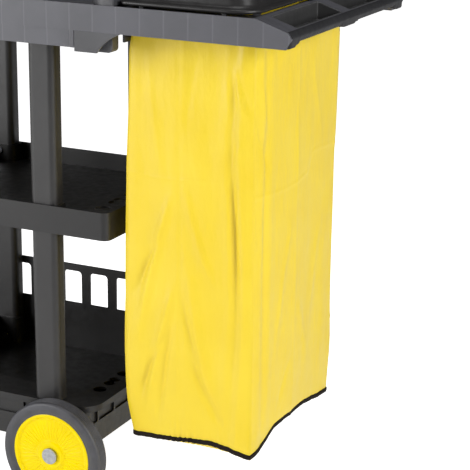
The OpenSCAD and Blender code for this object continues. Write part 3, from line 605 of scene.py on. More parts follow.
def rounded_outline(
    x0: float, x1: float, half: float, radii: tuple[float, float], steps: int = 10
) -> np.ndarray:
    """A closed rectangle with round corners, in X and Y, anticlockwise from above.

    Args:
        x0: Its low edge in X.
        x1: Its high edge in X.
        half: Half its width in Y.
        radii: Corner radii at the low and the high edge.
        steps: Points on each corner.

    Returns:
        Pairs of x and y: each corner is its centre plus its radius times a turning direction.
    """
    low, high = radii
    corners = [(x1 - high, half - high, high), (x0 + low, half - low, low)]
    corners += [(x0 + low, low - half, low), (x1 - high, high - half, high)]
    parts = []
    for turn, (x, y, r) in enumerate(corners):
        angle = (turn + np.linspace(0, 1, steps)) * math.pi / 2
        parts.append(np.column_stack([x + r * np.cos(angle), y + r * np.sin(angle)]))
    return np.vstack(parts)


def put_in(
    name: str, surface: Surface, body: str, slot: Slot, finish: Finish | None = None, sharp: float = 40.0
) -> bpy.types.Object:
    """Makes a piece from a surface, with its faces outwards, and sets it on a body.

    Args:
        name: Name of the piece.
        surface: Its points and faces.
        body: The body it rides on.
        slot: The record's slot that it takes its finish from.
        finish: A finish of its own, if it differs from the slot's.
        sharp: Edges that turn more than this many degrees stay crisp.

    Returns:
        The piece.
    """
    mesh = bpy.data.meshes.new(name)
    mesh.from_pydata((surface.points * MM).tolist(), [], surface.faces)
    work = bmesh.new()
    work.from_mesh(mesh)
    bmesh.ops.remove_doubles(work, verts=work.verts, dist=WELD / 4)
    bmesh.ops.recalc_face_normals(work, faces=work.faces)
    work.to_mesh(mesh)
    work.free()
    return finished(name, mesh, body, slot, finish, sharp)


def finished(
    name: str, mesh: bpy.types.Mesh, body: str, slot: Slot, finish: Finish | None, sharp: float
) -> bpy.types.Object:
    """Shades a mesh smoothly, dresses it and sets it on its body.

    Args:
        name: Name of the piece.
        mesh: Its mesh, in metres.
        body: The body it rides on.
        slot: The record's slot that it takes its finish from.
        finish: A finish of its own, or None.
        sharp: Edges that turn more than this many degrees stay crisp.

    Returns:
        The piece.
    """
    chosen = finish or FINISHES[slot]
    mesh.shade_smooth()
    mesh.set_sharp_from_angle(angle=math.radians(sharp))
    mesh.materials.append(chosen.material())
    # The second slot holds the edge finish, with a painted highlight where the kind has one
    mesh.materials.append(chosen.edge_with_painted_highlight().material())
    piece = bpy.data.objects.new(name, mesh)
    bpy.context.scene.collection.objects.link(piece)
    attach(piece, body)
    LOG.info("%s: %d faces", name, len(mesh.polygons))
    return piece


def soften(piece: bpy.types.Object, edge: float) -> bpy.types.BevelModifier:
    """Rounds a piece's sharp edges.

    Args:
        piece: The piece.
        edge: Width of the rounding in millimetres.

    Returns:
        The modifier that does it.
    """
    bevel = piece.modifiers.new("soft edges", "BEVEL")
    bevel.width = edge * MM
    bevel.segments = 3
    bevel.limit_method = "ANGLE"
    bevel.angle_limit = math.radians(32)
    bevel.harden_normals = True
    return bevel


@dataclass
class Moulding:
    """A moulded part: the node's own shape with every edge rounded as a mould leaves it."""

    node: str
    slot: Slot = Slot.FRAME
    body: str = "cart"
    edge: float = 1.2
    finish: Finish | None = None

    def build(self) -> bpy.types.Object:
        """Copies the node, clears its flat faces of inner edges and rounds its corners.

        Returns:
            The piece, which stands for the node.
        """
        source = frame["nodes"][self.node]
        mesh = source.data.copy()
        mesh.transform(source.matrix_world)
        mesh.materials.clear()
        work = bmesh.new()
        work.from_mesh(mesh)
        bmesh.ops.remove_doubles(work, verts=work.verts, dist=WELD)
        bmesh.ops.dissolve_limit(work, angle_limit=FLAT, verts=work.verts, edges=work.edges)
        work.to_mesh(mesh)
        work.free()
        if "custom_normal" in mesh.attributes:
            mesh.attributes.remove(mesh.attributes["custom_normal"])
        piece = finished(self.node + "_skin", mesh, self.body, self.slot, self.finish, 180.0)
        bevel = soften(piece, self.edge)
        bevel.miter_outer = "MITER_ARC"
        # The rounded edges take the second slot: paler, a painted highlight
        bevel.material = 1
        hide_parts(self.node)
        return piece


# ---------------------------------------------------------------- studio


@dataclass
class Studio:
    """Camera, soft lights and a plain pale floor."""

    place: tuple[float, float, float] = (1.594, -2.552, 1.335)
    yaw: float = 25.48
    pitch: float = 16.52
    roll: float = 0.73
    lens: float = 124.24
    sensor: float = 36.0
    open_side: tuple[float, float, float] = (-0.55, -0.8, -0.25)
    back_side: tuple[float, float, float] = (-0.3, 0.95, 0.1)
    dim: float = 0.26
    bright: float = 0.95
    back_glow: float = 1.2
    # Name, place in metres, side in metres and power in watts
    softboxes: tuple[tuple[str, tuple[float, float, float], float, float], ...] = (
        ("key", (-2.5, -2.7, 1.5), 2.0, 110),
        ("side", (3.7, -1.3, 1.9), 1.4, 104),
        ("top", (0.4, -0.6, 4.6), 2.4, 52),
    )
    aim: tuple[float, float, float] = (0.1, 0.0, 0.55)
    floor_reach: float = 30000.0
    floor_level: float = -0.5

    def camera(self) -> None:
        """Sets up the camera: yaw about Z, then pitch down, then a slight roll about its own axis."""
        data = bpy.data.cameras.new("camera")
        data.lens, data.sensor_width, data.clip_end = self.lens, self.sensor, 200
        made = bpy.data.objects.new("camera", data)
        bpy.context.scene.collection.objects.link(made)
        yaw, pitch, roll = (math.radians(a) for a in (self.yaw, self.pitch, self.roll))
        ahead = Vector((-math.sin(yaw) * math.cos(pitch), math.cos(yaw) * math.cos(pitch), -math.sin(pitch)))
        flat_right = Vector((math.cos(yaw), math.sin(yaw), 0))
        flat_up = flat_right.cross(ahead)
        right = math.cos(roll) * flat_right + math.sin(roll) * flat_up
        up = math.cos(roll) * flat_up - math.sin(roll) * flat_right
        turn = Matrix((right, up, -ahead)).transposed().to_4x4()
        made.matrix_world = Matrix.Translation(self.place) @ turn
        bpy.context.scene.camera = made

    def light(self, name: str, place: tuple[float, float, float], size: float, power: float) -> None:
        """Hangs one square softbox that looks at the middle of the cart.

        Args:
            name: Name of the light.
            place: Where it hangs, in metres.
            size: Its side, in metres.
            power: Its power, in watts.
        """
        data = bpy.data.lights.new(name, "AREA")
        data.size, data.energy = size, power
        made = bpy.data.objects.new(name, data)
        bpy.context.scene.collection.objects.link(made)
        made.location = place
        made.rotation_euler = (Vector(self.aim) - Vector(place)).to_track_quat("-Z", "Y").to_euler()

    def room(self) -> None:
        """Lights the room faintly from low on the open side and from the back.

        The glow multiplies the background's own dark grey. The camera sees it at full strength.
        """
        world = bpy.data.worlds.new("studio")
        world.use_nodes = True
        tree = world.node_tree
        way = wire(tree, "TexCoord").outputs["Generated"]
        opening, rear = (
            wire(tree, "VectorMath", {0: way, 1: side}, operation="DOT_PRODUCT").outputs["Value"]
            for side in (self.open_side, self.back_side)
        )
        front = wire(tree, "MapRange", onto(opening, -0.3, 0.9, self.dim, self.bright))
        back = wire(tree, "MapRange", onto(rear, 0.6, 0.95, 0, self.back_glow))
        direct = wire(tree, "LightPath").outputs["Is Camera Ray"]
        both = wire(tree, "Math", {0: front, 1: back}, operation="ADD")
        glow = wire(tree, "Math", {0: both, 1: direct}, operation="MAXIMUM")
        tree.links.new(glow.outputs[0], tree.nodes["Background"].inputs["Strength"])
        bpy.context.scene.world = world

    def build(self) -> None:
        """Puts in the camera, the lights, the room's glow and the floor."""
        self.camera()
        for softbox in self.softboxes:
            self.light(*softbox)
        self.room()
        bpy.context.scene.view_settings.view_transform = "Standard"
        reach = np.array([-self.floor_reach, self.floor_reach])
        x, y = np.meshgrid(reach, reach)
        surface = grid(np.stack([x, y, np.full_like(x, self.floor_level)], axis=-1))
        mesh = bpy.data.meshes.new("floor")
        mesh.from_pydata((surface.points * MM).tolist(), [], surface.faces)
        mesh.materials.append(LitFloor("pale_floor", "#f4f4f4", 0.8).material())
        floor = bpy.data.objects.new("floor", mesh)
        bpy.context.scene.collection.objects.link(floor)


# ---------------------------------------------------------------- mouldings and hardware


@dataclass
class Chassis:
    """Base, shelves, fence, frame brackets, hinge rail, tray and tool holders."""

    shelves: tuple[tuple[str, float], ...] = (
        ("base_platform", 1.4),
        ("lower_shelf", 1.3),
        ("guard_fence", 1.2),
        ("middle_shelf", 1.4),
    )
    frames: tuple[tuple[str, float], ...] = (
        ("frame_bracket_left", 1.2),
        ("frame_bracket_right", 1.2),
        ("hinge_rail", 2.0),
    )
    holders: tuple[str, ...] = ("tool_hook_left", "tool_hook_right", "tool_cup_left", "tool_cup_right")

    def build(self) -> None:
        """Rounds the mouldings' edges, each as the size of the part allows."""
        for node, edge in self.shelves:
            Moulding(node, Slot.SHELF, edge=edge).build()
        for node, edge in self.frames:
            Moulding(node, edge=edge).build()
        Moulding("top_tray", edge=1.3, finish=SIDE_WALL).build()
        for node in self.holders:
            Moulding(node, Slot.DARK, edge=1.0).build()


@dataclass
class HandleEnd:
    """The bag frame with its push handle, pockets and grip."""

    scallop_pitch: float = 9.0
    scallop_depth: float = 1.3
    end_drop: float = 7.0
    middle_drop: float = 4.0
    underside_level: float = 900.2
    steps: int = 340

    def build(self) -> None:
        """Rounds the frame's and the pockets' edges and wraps the nose."""
        Moulding("bag_frame", edge=1.1, finish=SIDE_WALL).build()
        Moulding("handle_pockets", Slot.DARK, edge=0.9, finish=POCKET).build()
        self.grip()

    def underside(self, y: np.ndarray, low: float, half: float) -> np.ndarray:
        """Height of the grip's underside: small scallops, with stepped lobes at the ends and the middle.

        Args:
            y: Places along the grip.
            low: Underside between the lobes.
            half: Half the grip's length.

        Returns:
            Heights at those places.
        """
        drop = np.zeros_like(y)
        for away, depth in ((np.abs(y), self.middle_drop), (half - np.abs(y), self.end_drop)):
            drop += depth * (0.55 * ease((40 - away) / 6) + 0.45 * ease((27 - away) / 6))
        ripple = self.scallop_depth * np.abs(np.sin(math.pi * y / self.scallop_pitch))
        return low + ripple * (1 - np.clip(drop / self.middle_drop, 0, 1)) - drop

    def grip(self) -> None:
        """Wraps a textured strip round the nose: a closed section whose foot follows the underside."""
        nose, half, _ = cad_box("bag_frame")[1] - [0, 0.8, 0]
        y = np.linspace(-half, half, self.steps)
        foot = self.underside(y, self.underside_level, half)
        end = np.minimum(1, np.sqrt(np.clip((half - np.abs(y)) / 3, 0.05, 1)))
        # Distance behind the nose, and height above the underside or above the floor
        under = [(15, 3.0), (13, 0.6), (11, 0.0), (6.5, 0.0), (4.2, 0.8), (2.6, 3.0)]
        front = [(1.6, 907.0), (-0.2, 909.6), (0.2, 912.2), (3.2, 916.8), (6.0, 919.6)]
        back = [(8.5, 920.2), (10, 919.6), (9.5, 914.0), (9.5, 908.0), (12, 904.5), (14, 904.5)]
        rows = [np.column_stack([np.full_like(y, nose - behind), y, foot + rise]) for behind, rise in under]
        for behind, z in front + back:
            rows.append(np.column_stack([np.full_like(y, nose - behind), y, np.full_like(y, z)]))
        points = np.stack(rows, axis=1)
        middle = points.mean(axis=1, keepdims=True)
        points = middle + (points - middle) * end[:, None, None]
        surface = grid(points, close_cols=True)
        n = points.shape[1]
        last = len(surface.points) - n
        surface.faces += [list(range(n)), list(range(last + n - 1, last - 1, -1))]
        put_in("grip_strip", surface, "cart", Slot.FRAME, GRIP, sharp=50)


@dataclass
class BagLid:
    """A domed lid with a rolled flange, a lift tab and two hinge arms."""

    corner: float = 45.0
    hinge_corner: float = 12.0
    wall: float = 3.0
    rings: int = 14
    crown: float = 2.2
    hinge_edge: float = 277.0
    lift_edge_gap: float = 8.0
    # Distance in from the edge and height above the flange's foot: the rolled flange,
    # and the dome's side up to its shoulder
    flange: tuple[tuple[float, float], ...] = (
        (1.2, 0.3), (0.3, 1.4), (0.0, 3.2), (0.3, 5.2), (1.4, 6.6), (3.2, 7.2), (8.5, 7.2),
    )
    side: tuple[tuple[float, float], ...] = (
        (11.5, 7.8), (13.6, 9.6), (15.0, 13.0), (17.5, 21.0),
        (20.0, 27.0), (23.0, 30.4), (27.5, 32.4), (34.0, 33.6),
    )
    # The arms: X and Z of their knuckles' centres, the knuckles' radius, and where each
    # arm lies across the lid and half its width
    knuckle_x: float = 266.0
    knuckle_z: float = 955.0
    knuckle_r: float = 8.0
    arm_y: float = 140.0
    arm_half: float = 15.0
    # The tab: how far it reaches inside and outside the flange's edge, and half its width
    tab_in: float = 16.0
    tab_out: float = 8.0
    tab_half: float = 40.0

    def ring(self, inset: float, z: float, lo: np.ndarray, hi: np.ndarray) -> np.ndarray:
        """The lid's outline drawn in by an inset, at a height. Its corners tighten as it shrinks.

        Args:
            inset: Distance in from the lid's edge.
            z: The height.
            lo: Lowest corner of the lid's plan.
            hi: Highest corner of the lid's plan.

        Returns:
            The ring's points.
        """
        radii = (max(self.hinge_corner - inset * 0.3, 4), max(self.corner - inset * 0.5, 4))
        flat = rounded_outline(lo[0] + inset, hi[0] - inset, hi[1] - inset, radii)
        return np.column_stack([flat, np.full(len(flat), z)])

    def dome(self, lo: np.ndarray, hi: np.ndarray, drop: float) -> list[np.ndarray]:
        """Rings from the shoulder to the middle: each is the shoulder's ring shrunk, on a low parabola.

        Args:
            lo: Lowest corner of the lid's plan.
            hi: Highest corner of the lid's plan.
            drop: How far below the outer skin the rings lie.

        Returns:
            The rings, from the shoulder inwards.
        """
        inset, rise = self.side[-1]
        edge = self.ring(inset + 1.0, lo[2] + rise - drop, lo, hi)
        middle = np.array([(lo[0] + hi[0]) / 2, 0.0, 0.0])
        share = np.linspace(0.985, 0.0, self.rings)
        rings = []
        for k in share:
            ring = middle + (edge - middle) * [k, k, 1]
            ring[:, 2] = lo[2] + rise - drop + self.crown * (1 - k * k)
            rings.append(ring)
        return rings

    def build(self) -> None:
        """Builds the skin as one closed surface and adds the arms and the tab."""
        lo, hi = cad_box("lid_shell")
        lo[0] = self.hinge_edge
        hi[0] -= self.lift_edge_gap
        outer = [self.ring(inset, lo[2] + rise, lo, hi) for inset, rise in self.flange + self.side]
        inner = [
            self.ring(inset + self.wall * 0.8, lo[2] + rise - self.wall, lo, hi) for inset, rise in self.side
        ]
        rows = self.dome(lo, hi, self.wall)[::-1] + inner[::-1] + outer + self.dome(lo, hi, 0.0)
        shell = grid(np.stack(rows), close_cols=True)
        skin = put_in("lid_skin", shell, "bag_lid", Slot.DARK, sharp=60)
        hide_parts("lid_shell")
        self.arms(lo)
        self.tab(lo, hi)

    def arms(self, lo: np.ndarray) -> None:
        """Adds two arms: a round knuckle that runs straight into the dome's wall.

        Args:
            lo: Lowest corner of the lid's plan.
        """
        x, z, r = self.knuckle_x, self.knuckle_z, self.knuckle_r
        angle = np.linspace(math.pi / 2, 1.5 * math.pi, 16)
        knuckle = np.column_stack([x + r * np.cos(angle), z + r * np.sin(angle)])
        bar = np.array([[lo[0] + 18, z - r], [lo[0] + 20, z + 3], [x + 6, z + 6]])
        outline = np.vstack([knuckle, bar])
        for name, y in (("left", -self.arm_y), ("right", self.arm_y)):
            arm = extruded(outline, y - self.arm_half, y + self.arm_half)
            soften(put_in(f"lid_arm_{name}", arm, "bag_lid", Slot.DARK), 1.2)

    def tab(self, lo: np.ndarray, hi: np.ndarray) -> None:
        """Adds a lift tab: a plate that grows out of the flange and thins to a rounded rim.

        Args:
            lo: Lowest corner of the lid's plan.
            hi: Highest corner of the lid's plan.
        """
        outline = rounded_outline(hi[0] - self.tab_in, hi[0] + self.tab_out, self.tab_half, (3, 10))
        levels = [(2.0, 0.6), (0.4, 1.0), (0.0, 2.2), (0.4, 3.6), (2.0, 4.2)]
        rows = []
        for inset, rise in levels:
            centre = outline.mean(axis=0)
            away = outline - centre
            size = np.abs(away).max(axis=0)
            flat = centre + away * (1 - inset / size)
            rows.append(np.column_stack([flat, np.full(len(flat), lo[2] + rise)]))
        plate = grid(np.stack(rows), close_cols=True)
        n = len(outline)
        last = len(plate.points) - n
        plate.faces += [list(range(n - 1, -1, -1)), list(range(last, last + n))]
        put_in("lid_tab", plate, "bag_lid", Slot.DARK, sharp=50)


# ---------------------------------------------------------------- bag


@dataclass
class WasteBag:
    """A coated nylon bag that hangs from the frame's collar.

    The wall is a lofted sheet: round the mouth's outline in columns and up the drop in
    rows. Every point is pushed out or in along its side's normal by the folds there.
    """

    along: int = 54
    across: int = 80
    corner_points: int = 8
    corner: float = 18.0
    cloth: float = 0.6
    seed: int = 11
    rings: int = 16
    sag: float = 148.0
    collar: float = 930.0
    # The sheet laid flat, in metres: round the bag by its drop, the wall's part of that
    # drop, and the area of the bottom panel
    flat_m: tuple[float, float] = (1.21, 0.92)
    wall_drop_m: float = 0.79
    floor_m2: float = 0.087
    thread_spread: tuple[float, ...] = (-9.0, -4.0, 3.0, 8.0)
    # The sum of the X places of a near fold and of its copy on the far side
    swap: float = 762.0

    def __post_init__(self) -> None:
        """Takes the bag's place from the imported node."""
        lo, hi = cad_box("waste_bag")
        overlap = 7.5
        self.x0, self.x1 = lo[0] + overlap, hi[0] - overlap
        self.half = hi[1] - overlap
        self.bottom, self.top = lo[2], hi[2]

    def outline(self) -> tuple[np.ndarray, np.ndarray]:
        """The mouth's outline and its outward normals, anticlockwise from the near front corner.

        Returns:
            Points and normals as pairs of x and y.
        """
        r, half = self.corner, self.half
        rear, front = self.x1 - r, self.x0 + r
        corners = [(rear, r - half), (rear, half - r), (front, half - r), (front, r - half)]
        counts = [self.along, self.across, self.along, self.across]
        points, normals = [], []
        for side, (count, corner) in enumerate(zip(counts, corners)):
            before = np.array(corners[side - 1])
            out = np.array([math.sin(side * math.pi / 2), -math.cos(side * math.pi / 2)])
            share = np.linspace(0, 1, count, endpoint=False)[:, None]
            points.append(before + (np.array(corner) - before) * share + r * out)
            normals.append(np.repeat(out[None], count, axis=0))
            quarter = np.linspace(0, 1, self.corner_points, endpoint=False)
            angle = (side - 1) * math.pi / 2 + quarter * math.pi / 2
            turn = np.column_stack([np.cos(angle), np.sin(angle)])
            points.append(np.array(corner) + r * turn)
            normals.append(turn)
        return np.vstack(points), np.vstack(normals)

    def hem_line(self, points: np.ndarray, normals: np.ndarray) -> np.ndarray:
        """Height of the bottom seam: it lifts in a low arch on each side between the corners.

        Args:
            points: The outline.
            normals: Its normals.

        Returns:
            The seam's height at each column.
        """
        x, y = points[:, 0], points[:, 1]
        along_end = [-175, -150, -120, -80, -40, 0, 40, 80, 120, 160]
        ends = through(y, along_end, [0, 1, 5, 18, 20, 19, 18, 12.5, 5.5, 1.5])
        along_side = [268, 304, 345, 380, 425, 450, 475, 492]
        sides = through(x, along_side, [0, 2, 4, 8, 10.5, 8.5, 4, 2.5])
        lift = ends * np.abs(normals[:, 0]) ** 4 + sides * np.abs(normals[:, 1]) ** 4
        return self.bottom + lift

    def levels(self) -> np.ndarray:
        """Shares of the drop, closest together about the seam and the packing crease.

        Returns:
            Rising shares from nothing to one.
        """
        return np.concatenate([
            np.linspace(0, 0.05, 9, endpoint=False),
            np.linspace(0.05, 0.57, 56, endpoint=False),
            np.linspace(0.57, 0.67, 24, endpoint=False),
            np.linspace(0.67, 1, 34),
        ])

    def near_folds(self, x: np.ndarray, z: np.ndarray) -> np.ndarray:
        """Folds of the side that faces -Y.

        The sum of a pressed crease down the middle, a slit and a ridge beside the corner,
        soft folds that fan down from the crease, puckers over the seam and a packing crease.

        Args:
            x: Places along the side.
            z: Heights.

        Returns:
            How far the cloth stands out, in millimetres.
        """
        crease = 359 + (845 - z) * 0.008
        low = ease((z - 150) / 40)
        out = 3.6 * tent(x, crease, 62) * low - 1.5 * ridge(x, crease, 2.2)
        slit = bell(z, 560, 95) + 0.35 * bell(z, 760, 60) + 0.3 * bell(z, 400, 120)
        path = 462 + 5 * np.sin((z - 300) / 90)
        out -= 7.0 * slit * np.exp(-(((x - path) / 5.0) ** 2))
        out += (2.4 + 1.6 * bell(z, 600, 220)) * np.exp(-(((x - path - 15) / 7.5) ** 2)) * low
        out += 1.8 * np.exp(-(((x - path + 13) / 8.0) ** 2)) * (0.4 + 0.6 * bell(z, 500, 200))
        # Each soft fold: its upper end, its lower end, its width and its height
        for x0, z0, x1, z1, width, height in (
            (352, 640, 268, 300, 8, 6.4),
            (340, 560, 262, 395, 6, -4.2),
            (356, 470, 292, 190, 7, 6.0),
            (345, 380, 276, 215, 5, -4.4),
            (350, 400, 318, 175, 5, -4.2),
            (366, 640, 436, 430, 7, 3.6),
            (372, 520, 430, 210, 10, 4.6),
            (362, 450, 404, 300, 5, -3.2),
            (380, 330, 455, 185, 7, -4.0),
            (300, 880, 330, 600, 10, 2.2),
            (398, 880, 372, 700, 7, -1.6),
            (462, 862, 490, 742, 5, 2.6),
            (470, 842, 496, 760, 4, -2.2),
            (448, 840, 470, 690, 5, 1.8),
            (486, 730, 458, 640, 5, 1.8),
        ):
            out += height * self.band(x, z, (x0, z0), (x1, z1), width)
        above = np.clip(z - self.bottom - 6, 0, None)
        gather = bell(x, 365, 34) + 0.4 * bell(x, 440, 20)
        out += 2.6 * np.sin(2 * math.pi * (x + 0.12 * above) / 10.5) * gather * np.exp(-above / 26)
        out += 1.1 * ridge(z, 641 + 2 * np.sin(x / 30), 2.6) * (0.35 + 0.65 * ease((430 - x) / 80))
        return out

    def end_folds(self, y: np.ndarray, z: np.ndarray) -> np.ndarray:
        """Folds of the side that faces the handle.

        The sum of a pressed crease down the middle, upright folds beside the near corner,
        slanted soft folds and a packing crease that steps across it.

        Args:
            y: Places along the side.
            z: Heights.

        Returns:
            How far the cloth stands out, in millimetres.
        """
        low = ease((z - 150) / 50)
        centre = -17 + (845 - z) * 0.003
        out = 5.5 * tent(y, centre, 150) * low + 1.0 * ridge(y, centre, 2.6)
        out += 3.0 * bell(y, -158, 9) * (0.5 + 0.5 * bell(z, 640, 260)) * low
        out -= 2.6 * bell(y, -140, 8) * (0.4 + 0.6 * bell(z, 560, 240)) * low
        out += 2.2 * bell(y, -121, 11) * (0.4 + 0.6 * bell(z, 420, 220)) * low
        out -= 2.5 * bell(y, 70, 34) * bell(z, 420, 170)
        out += 1.6 * bell(y, 128, 20) * bell(z, 330, 160)
        step = 619 + 4 * np.sin(y / 40) + 34 * ease((y - 30) / 30)
        out += 1.5 * ridge(z, step, 2.6) + 0.9 * ease((z - step) / 14) * ease((step + 120 - z) / 100)
        out += 0.9 * ridge(z, 300 + 0.05 * y, 3.0)
        for y0, z0, y1, z1, width, height in (
            (-170, 850, -128, 700, 7, 2.4),
            (-176, 760, -120, 655, 6, -2.0),
            (-30, 560, -96, 300, 8, 2.0),
            (-8, 430, 70, 230, 10, 2.2),
            (-24, 300, -80, 195, 6, -1.8),
            (120, 560, 60, 330, 9, 1.8),
            (40, 860, 96, 690, 9, 1.4),
        ):
            out += height * self.band(y, z, (y0, z0), (y1, z1), width)
        return out

    @staticmethod
    def band(
        x: np.ndarray, z: np.ndarray, start: tuple[float, float], end: tuple[float, float], width: float
    ) -> np.ndarray:
        """A soft fold along a slanted line: a bell across it that fades in and out along it.

        Args:
            x: Places along the side.
            z: Heights.
            start: Where the fold starts.
            end: Where it ends.
            width: Width of the bell.

        Returns:
            The fold's height, up to one.
        """
        run = np.array(end, float) - start
        length = np.hypot(*run)
        run /= length
        ahead = ((x - start[0]) * run[0] + (z - start[1]) * run[1]) / length
        aside = (x - start[0]) * run[1] - (z - start[1]) * run[0]
        bow = 6 * np.sin(math.pi * np.clip(ahead, 0, 1))
        return np.exp(-(((aside - bow) / width) ** 2)) * ease(ahead / 0.3) * ease((1 - ahead) / 0.35)

    def drift(self, along: np.ndarray, z: np.ndarray) -> np.ndarray:
        """Slow unevenness: a seeded sum of sine waves, longer up the drop than along it.

        Args:
            along: Share of the way round the bag.
            z: Heights.

        Returns:
            How far the cloth stands out, in millimetres.
        """
        draw = np.random.default_rng(self.seed)
        out = np.zeros(np.broadcast_shapes(along.shape, z.shape))
        for _ in range(22):
            turns = draw.integers(3, 30)
            rise, phase = draw.uniform(-26, 26), draw.uniform(0, 2 * math.pi)
            size = draw.uniform(0.1, 0.4) * 8 / (8 + turns)
            out += size * np.sin(2 * math.pi * turns * along + rise * z / 780 + phase)
        return out

    def wall(self) -> tuple[np.ndarray, np.ndarray]:
        """The wall's points by rows from the seam up, and the columns' distance round the bag.

        Returns:
            An array of rows, columns and three coordinates, and the distances.
        """
        flat, out = self.outline()
        step = np.linalg.norm(np.diff(np.vstack([flat, flat[:1]]), axis=0), axis=1)
        round_it = np.concatenate([[0], np.cumsum(step)])
        seam = self.hem_line(flat, out)
        x, y = flat[:, 0][None, :], flat[:, 1][None, :]
        z = seam[None, :] + self.levels()[:, None] * (self.collar - seam)[None, :]
        # A corner follows both of its sides in full.
        reach = out / np.abs(out).max(axis=1, keepdims=True)
        near, end = np.clip(-reach[:, 1], 0, 1), np.clip(reach[:, 0], 0, 1)
        far, front = np.clip(reach[:, 1], 0, 1), np.clip(-reach[:, 0], 0, 1)
        # How far the front and the far side swell or pull in, by height
        belly_front = through(z, [153, 217, 299, 480, 669, 715, 874], [-1, 9, 14, 12, 7.5, 5.5, 0])
        belly_far = through(z, [155, 245, 350, 475, 600, 725, 852], [-14, -4, -10, -15, -9, -2, 1])
        foot, corner = bell(z, 153, 40), bell(x, 495, 60)
        push_near = self.near_folds(x, z) + 6 * foot * corner - 2 * bell(z, 430, 200)
        pulled = bell(y, -178, 45)
        push_end = self.end_folds(y, z) + (2 * pulled - 4 * (1 - pulled)) * bell(z, 153, 60)
        # The far side and the front carry the same folds, weaker and turned end for end.
        push_far = self.near_folds(self.swap - x, z) * 0.7 + belly_far
        push_front = self.end_folds(-y, z) * 0.6 + belly_front
        free = ease((897 - z) / 45)
        drift = self.drift(round_it[:-1][None, :] / round_it[-1], z)
        # The cloth's corners are tighter than the mouth's. At the foot the rear ones are
        # sewn square: the corner's arc is scaled out to the square that surrounds it.
        square = self.corner * (1 / np.abs(out).max(axis=1) - 1)
        rear = ease((x - self.x0 - 60) / 60)
        drift = drift + square * (0.6 + 0.4 * ease((230 - z) / 80) * (2 * rear - 1))
        dx = (push_end * end - push_front * front + drift * out[:, 0]) * free
        dy = (push_far * far - push_near * near + drift * out[:, 1]) * free
        return np.stack([x + dx, y + dy, z + 0 * x], axis=-1), round_it[:-1]

    def turnover(self) -> np.ndarray:
        """The hem: the top edge rises, rolls out over the collar and hangs down outside it.

        Returns:
            The hem's rows of points. Each is the outline moved out and set at a height.
        """
        flat, out = self.outline()
        rise = [(0.0, 3.5), (0.3, 5.6), (1.4, 6.5), (4.0, 6.5), (6.4, 6.3), (7.2, 5.2), (7.4, 1.8)]
        rows = [
            np.column_stack([flat + out * outward, np.full(len(flat), self.collar + above)])
            for outward, above in rise
        ]
        return np.stack(rows)

    def floor_rings(self, seam: np.ndarray) -> np.ndarray:
        """The bottom panel: rings drawn in from the seam to the middle, sagging below it.

        Args:
            seam: The wall's lowest row.

        Returns:
            The panel's rows of points, from the middle outwards.
        """
        middle = np.array([(self.x0 + self.x1) / 2, 0.0, self.sag])
        share = np.linspace(1, 0, self.rings)[1:, None, None] ** 1.4
        rings = middle + (seam[None] - middle) * share
        # The panel bellies out below the long seams and slopes in gently from the end seams.
        power = 16 - 14.7 * self.outline()[1][:, 0] ** 2
        rings[..., 2] = self.sag + (seam[None, :, 2] - self.sag) * share[..., 0] ** power
        return rings[::-1]

    def build(self) -> None:
        wall, round_it = self.wall()
        rows = np.concatenate([self.floor_rings(wall[0]), wall, self.turnover()])
        cloth = put_in("bag_cloth", grid(rows, close_cols=True), "cart", Slot.BAG, sharp=180)
        self.lay_out(cloth)
        thickness = cloth.modifiers.new("cloth", "SOLIDIFY")
        thickness.thickness, thickness.offset = self.cloth * MM, -1.0
        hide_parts("waste_bag")
        tape = self.binding(wall[0], round_it)
        ends = self.threads(wall[0])

    def lay_out(self, cloth: bpy.types.Object) -> None:
        """Gives the cloth its own coordinates, in metres.

        A face that looks along X takes Y and Z, one along Y takes X and Z, and one that
        looks up or down takes X and Y.

        Args:
            cloth: The piece.
        """
        mesh = cloth.data
        layer = mesh.uv_layers.new(name="cloth")
        points = np.empty(len(mesh.vertices) * 3)
        mesh.vertices.foreach_get("co", points)
        points = points.reshape(-1, 3)
        index = np.empty(len(mesh.loops), int)
        mesh.loops.foreach_get("vertex_index", index)
        normal = np.empty(len(mesh.polygons) * 3)
        mesh.polygons.foreach_get("normal", normal)
        total = np.empty(len(mesh.polygons), int)
        mesh.polygons.foreach_get("loop_total", total)
        facing = np.repeat(np.abs(normal.reshape(-1, 3)), total, axis=0)
        at = points[index]
        ends = (facing[:, 0] > facing[:, 1]) & (facing[:, 0] > facing[:, 2])
        level = (facing[:, 2] >= facing[:, 0]) & (facing[:, 2] >= facing[:, 1])
        u = np.where(ends, at[:, 1], at[:, 0])
        v = np.where(level, at[:, 1], at[:, 2])
        layer.data.foreach_set("uv", np.column_stack([u, v]).ravel())

    def binding(self, seam: np.ndarray, round_it: np.ndarray) -> bpy.types.Object:
        """Tape folded over the seam: a flat oval section carried round the bag's foot.

        Args:
            seam: The wall's lowest row.
            round_it: Its columns' distance round the bag.

        Returns:
            The tape.
        """
        _, out = self.outline()
        angle = np.linspace(0, 2 * math.pi, 12, endpoint=False)
        thick = 2.3 * np.sign(np.cos(angle)) * np.abs(np.cos(angle)) ** 0.6
        tall = 4.6 * np.sign(np.sin(angle)) * np.abs(np.sin(angle)) ** 0.7
        wave = 0.35 * np.sin(round_it / 7.0) + 0.25 * np.sin(round_it / 3.1)
        points = np.zeros((len(seam), len(angle), 3))
        points[..., 0] = seam[:, 0, None] + out[:, 0, None] * (thick + 0.4)
        points[..., 1] = seam[:, 1, None] + out[:, 1, None] * (thick + 0.4)
        points[..., 2] = seam[:, 2, None] + 3.9 + tall + wave[:, None]
        shape = grid(points, close_rows=True, close_cols=True)
        tape = put_in("bag_tape", shape, "cart", Slot.TAPE, sharp=80)
        self.lay_out(tape)
        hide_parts("bag_binding")
        return tape

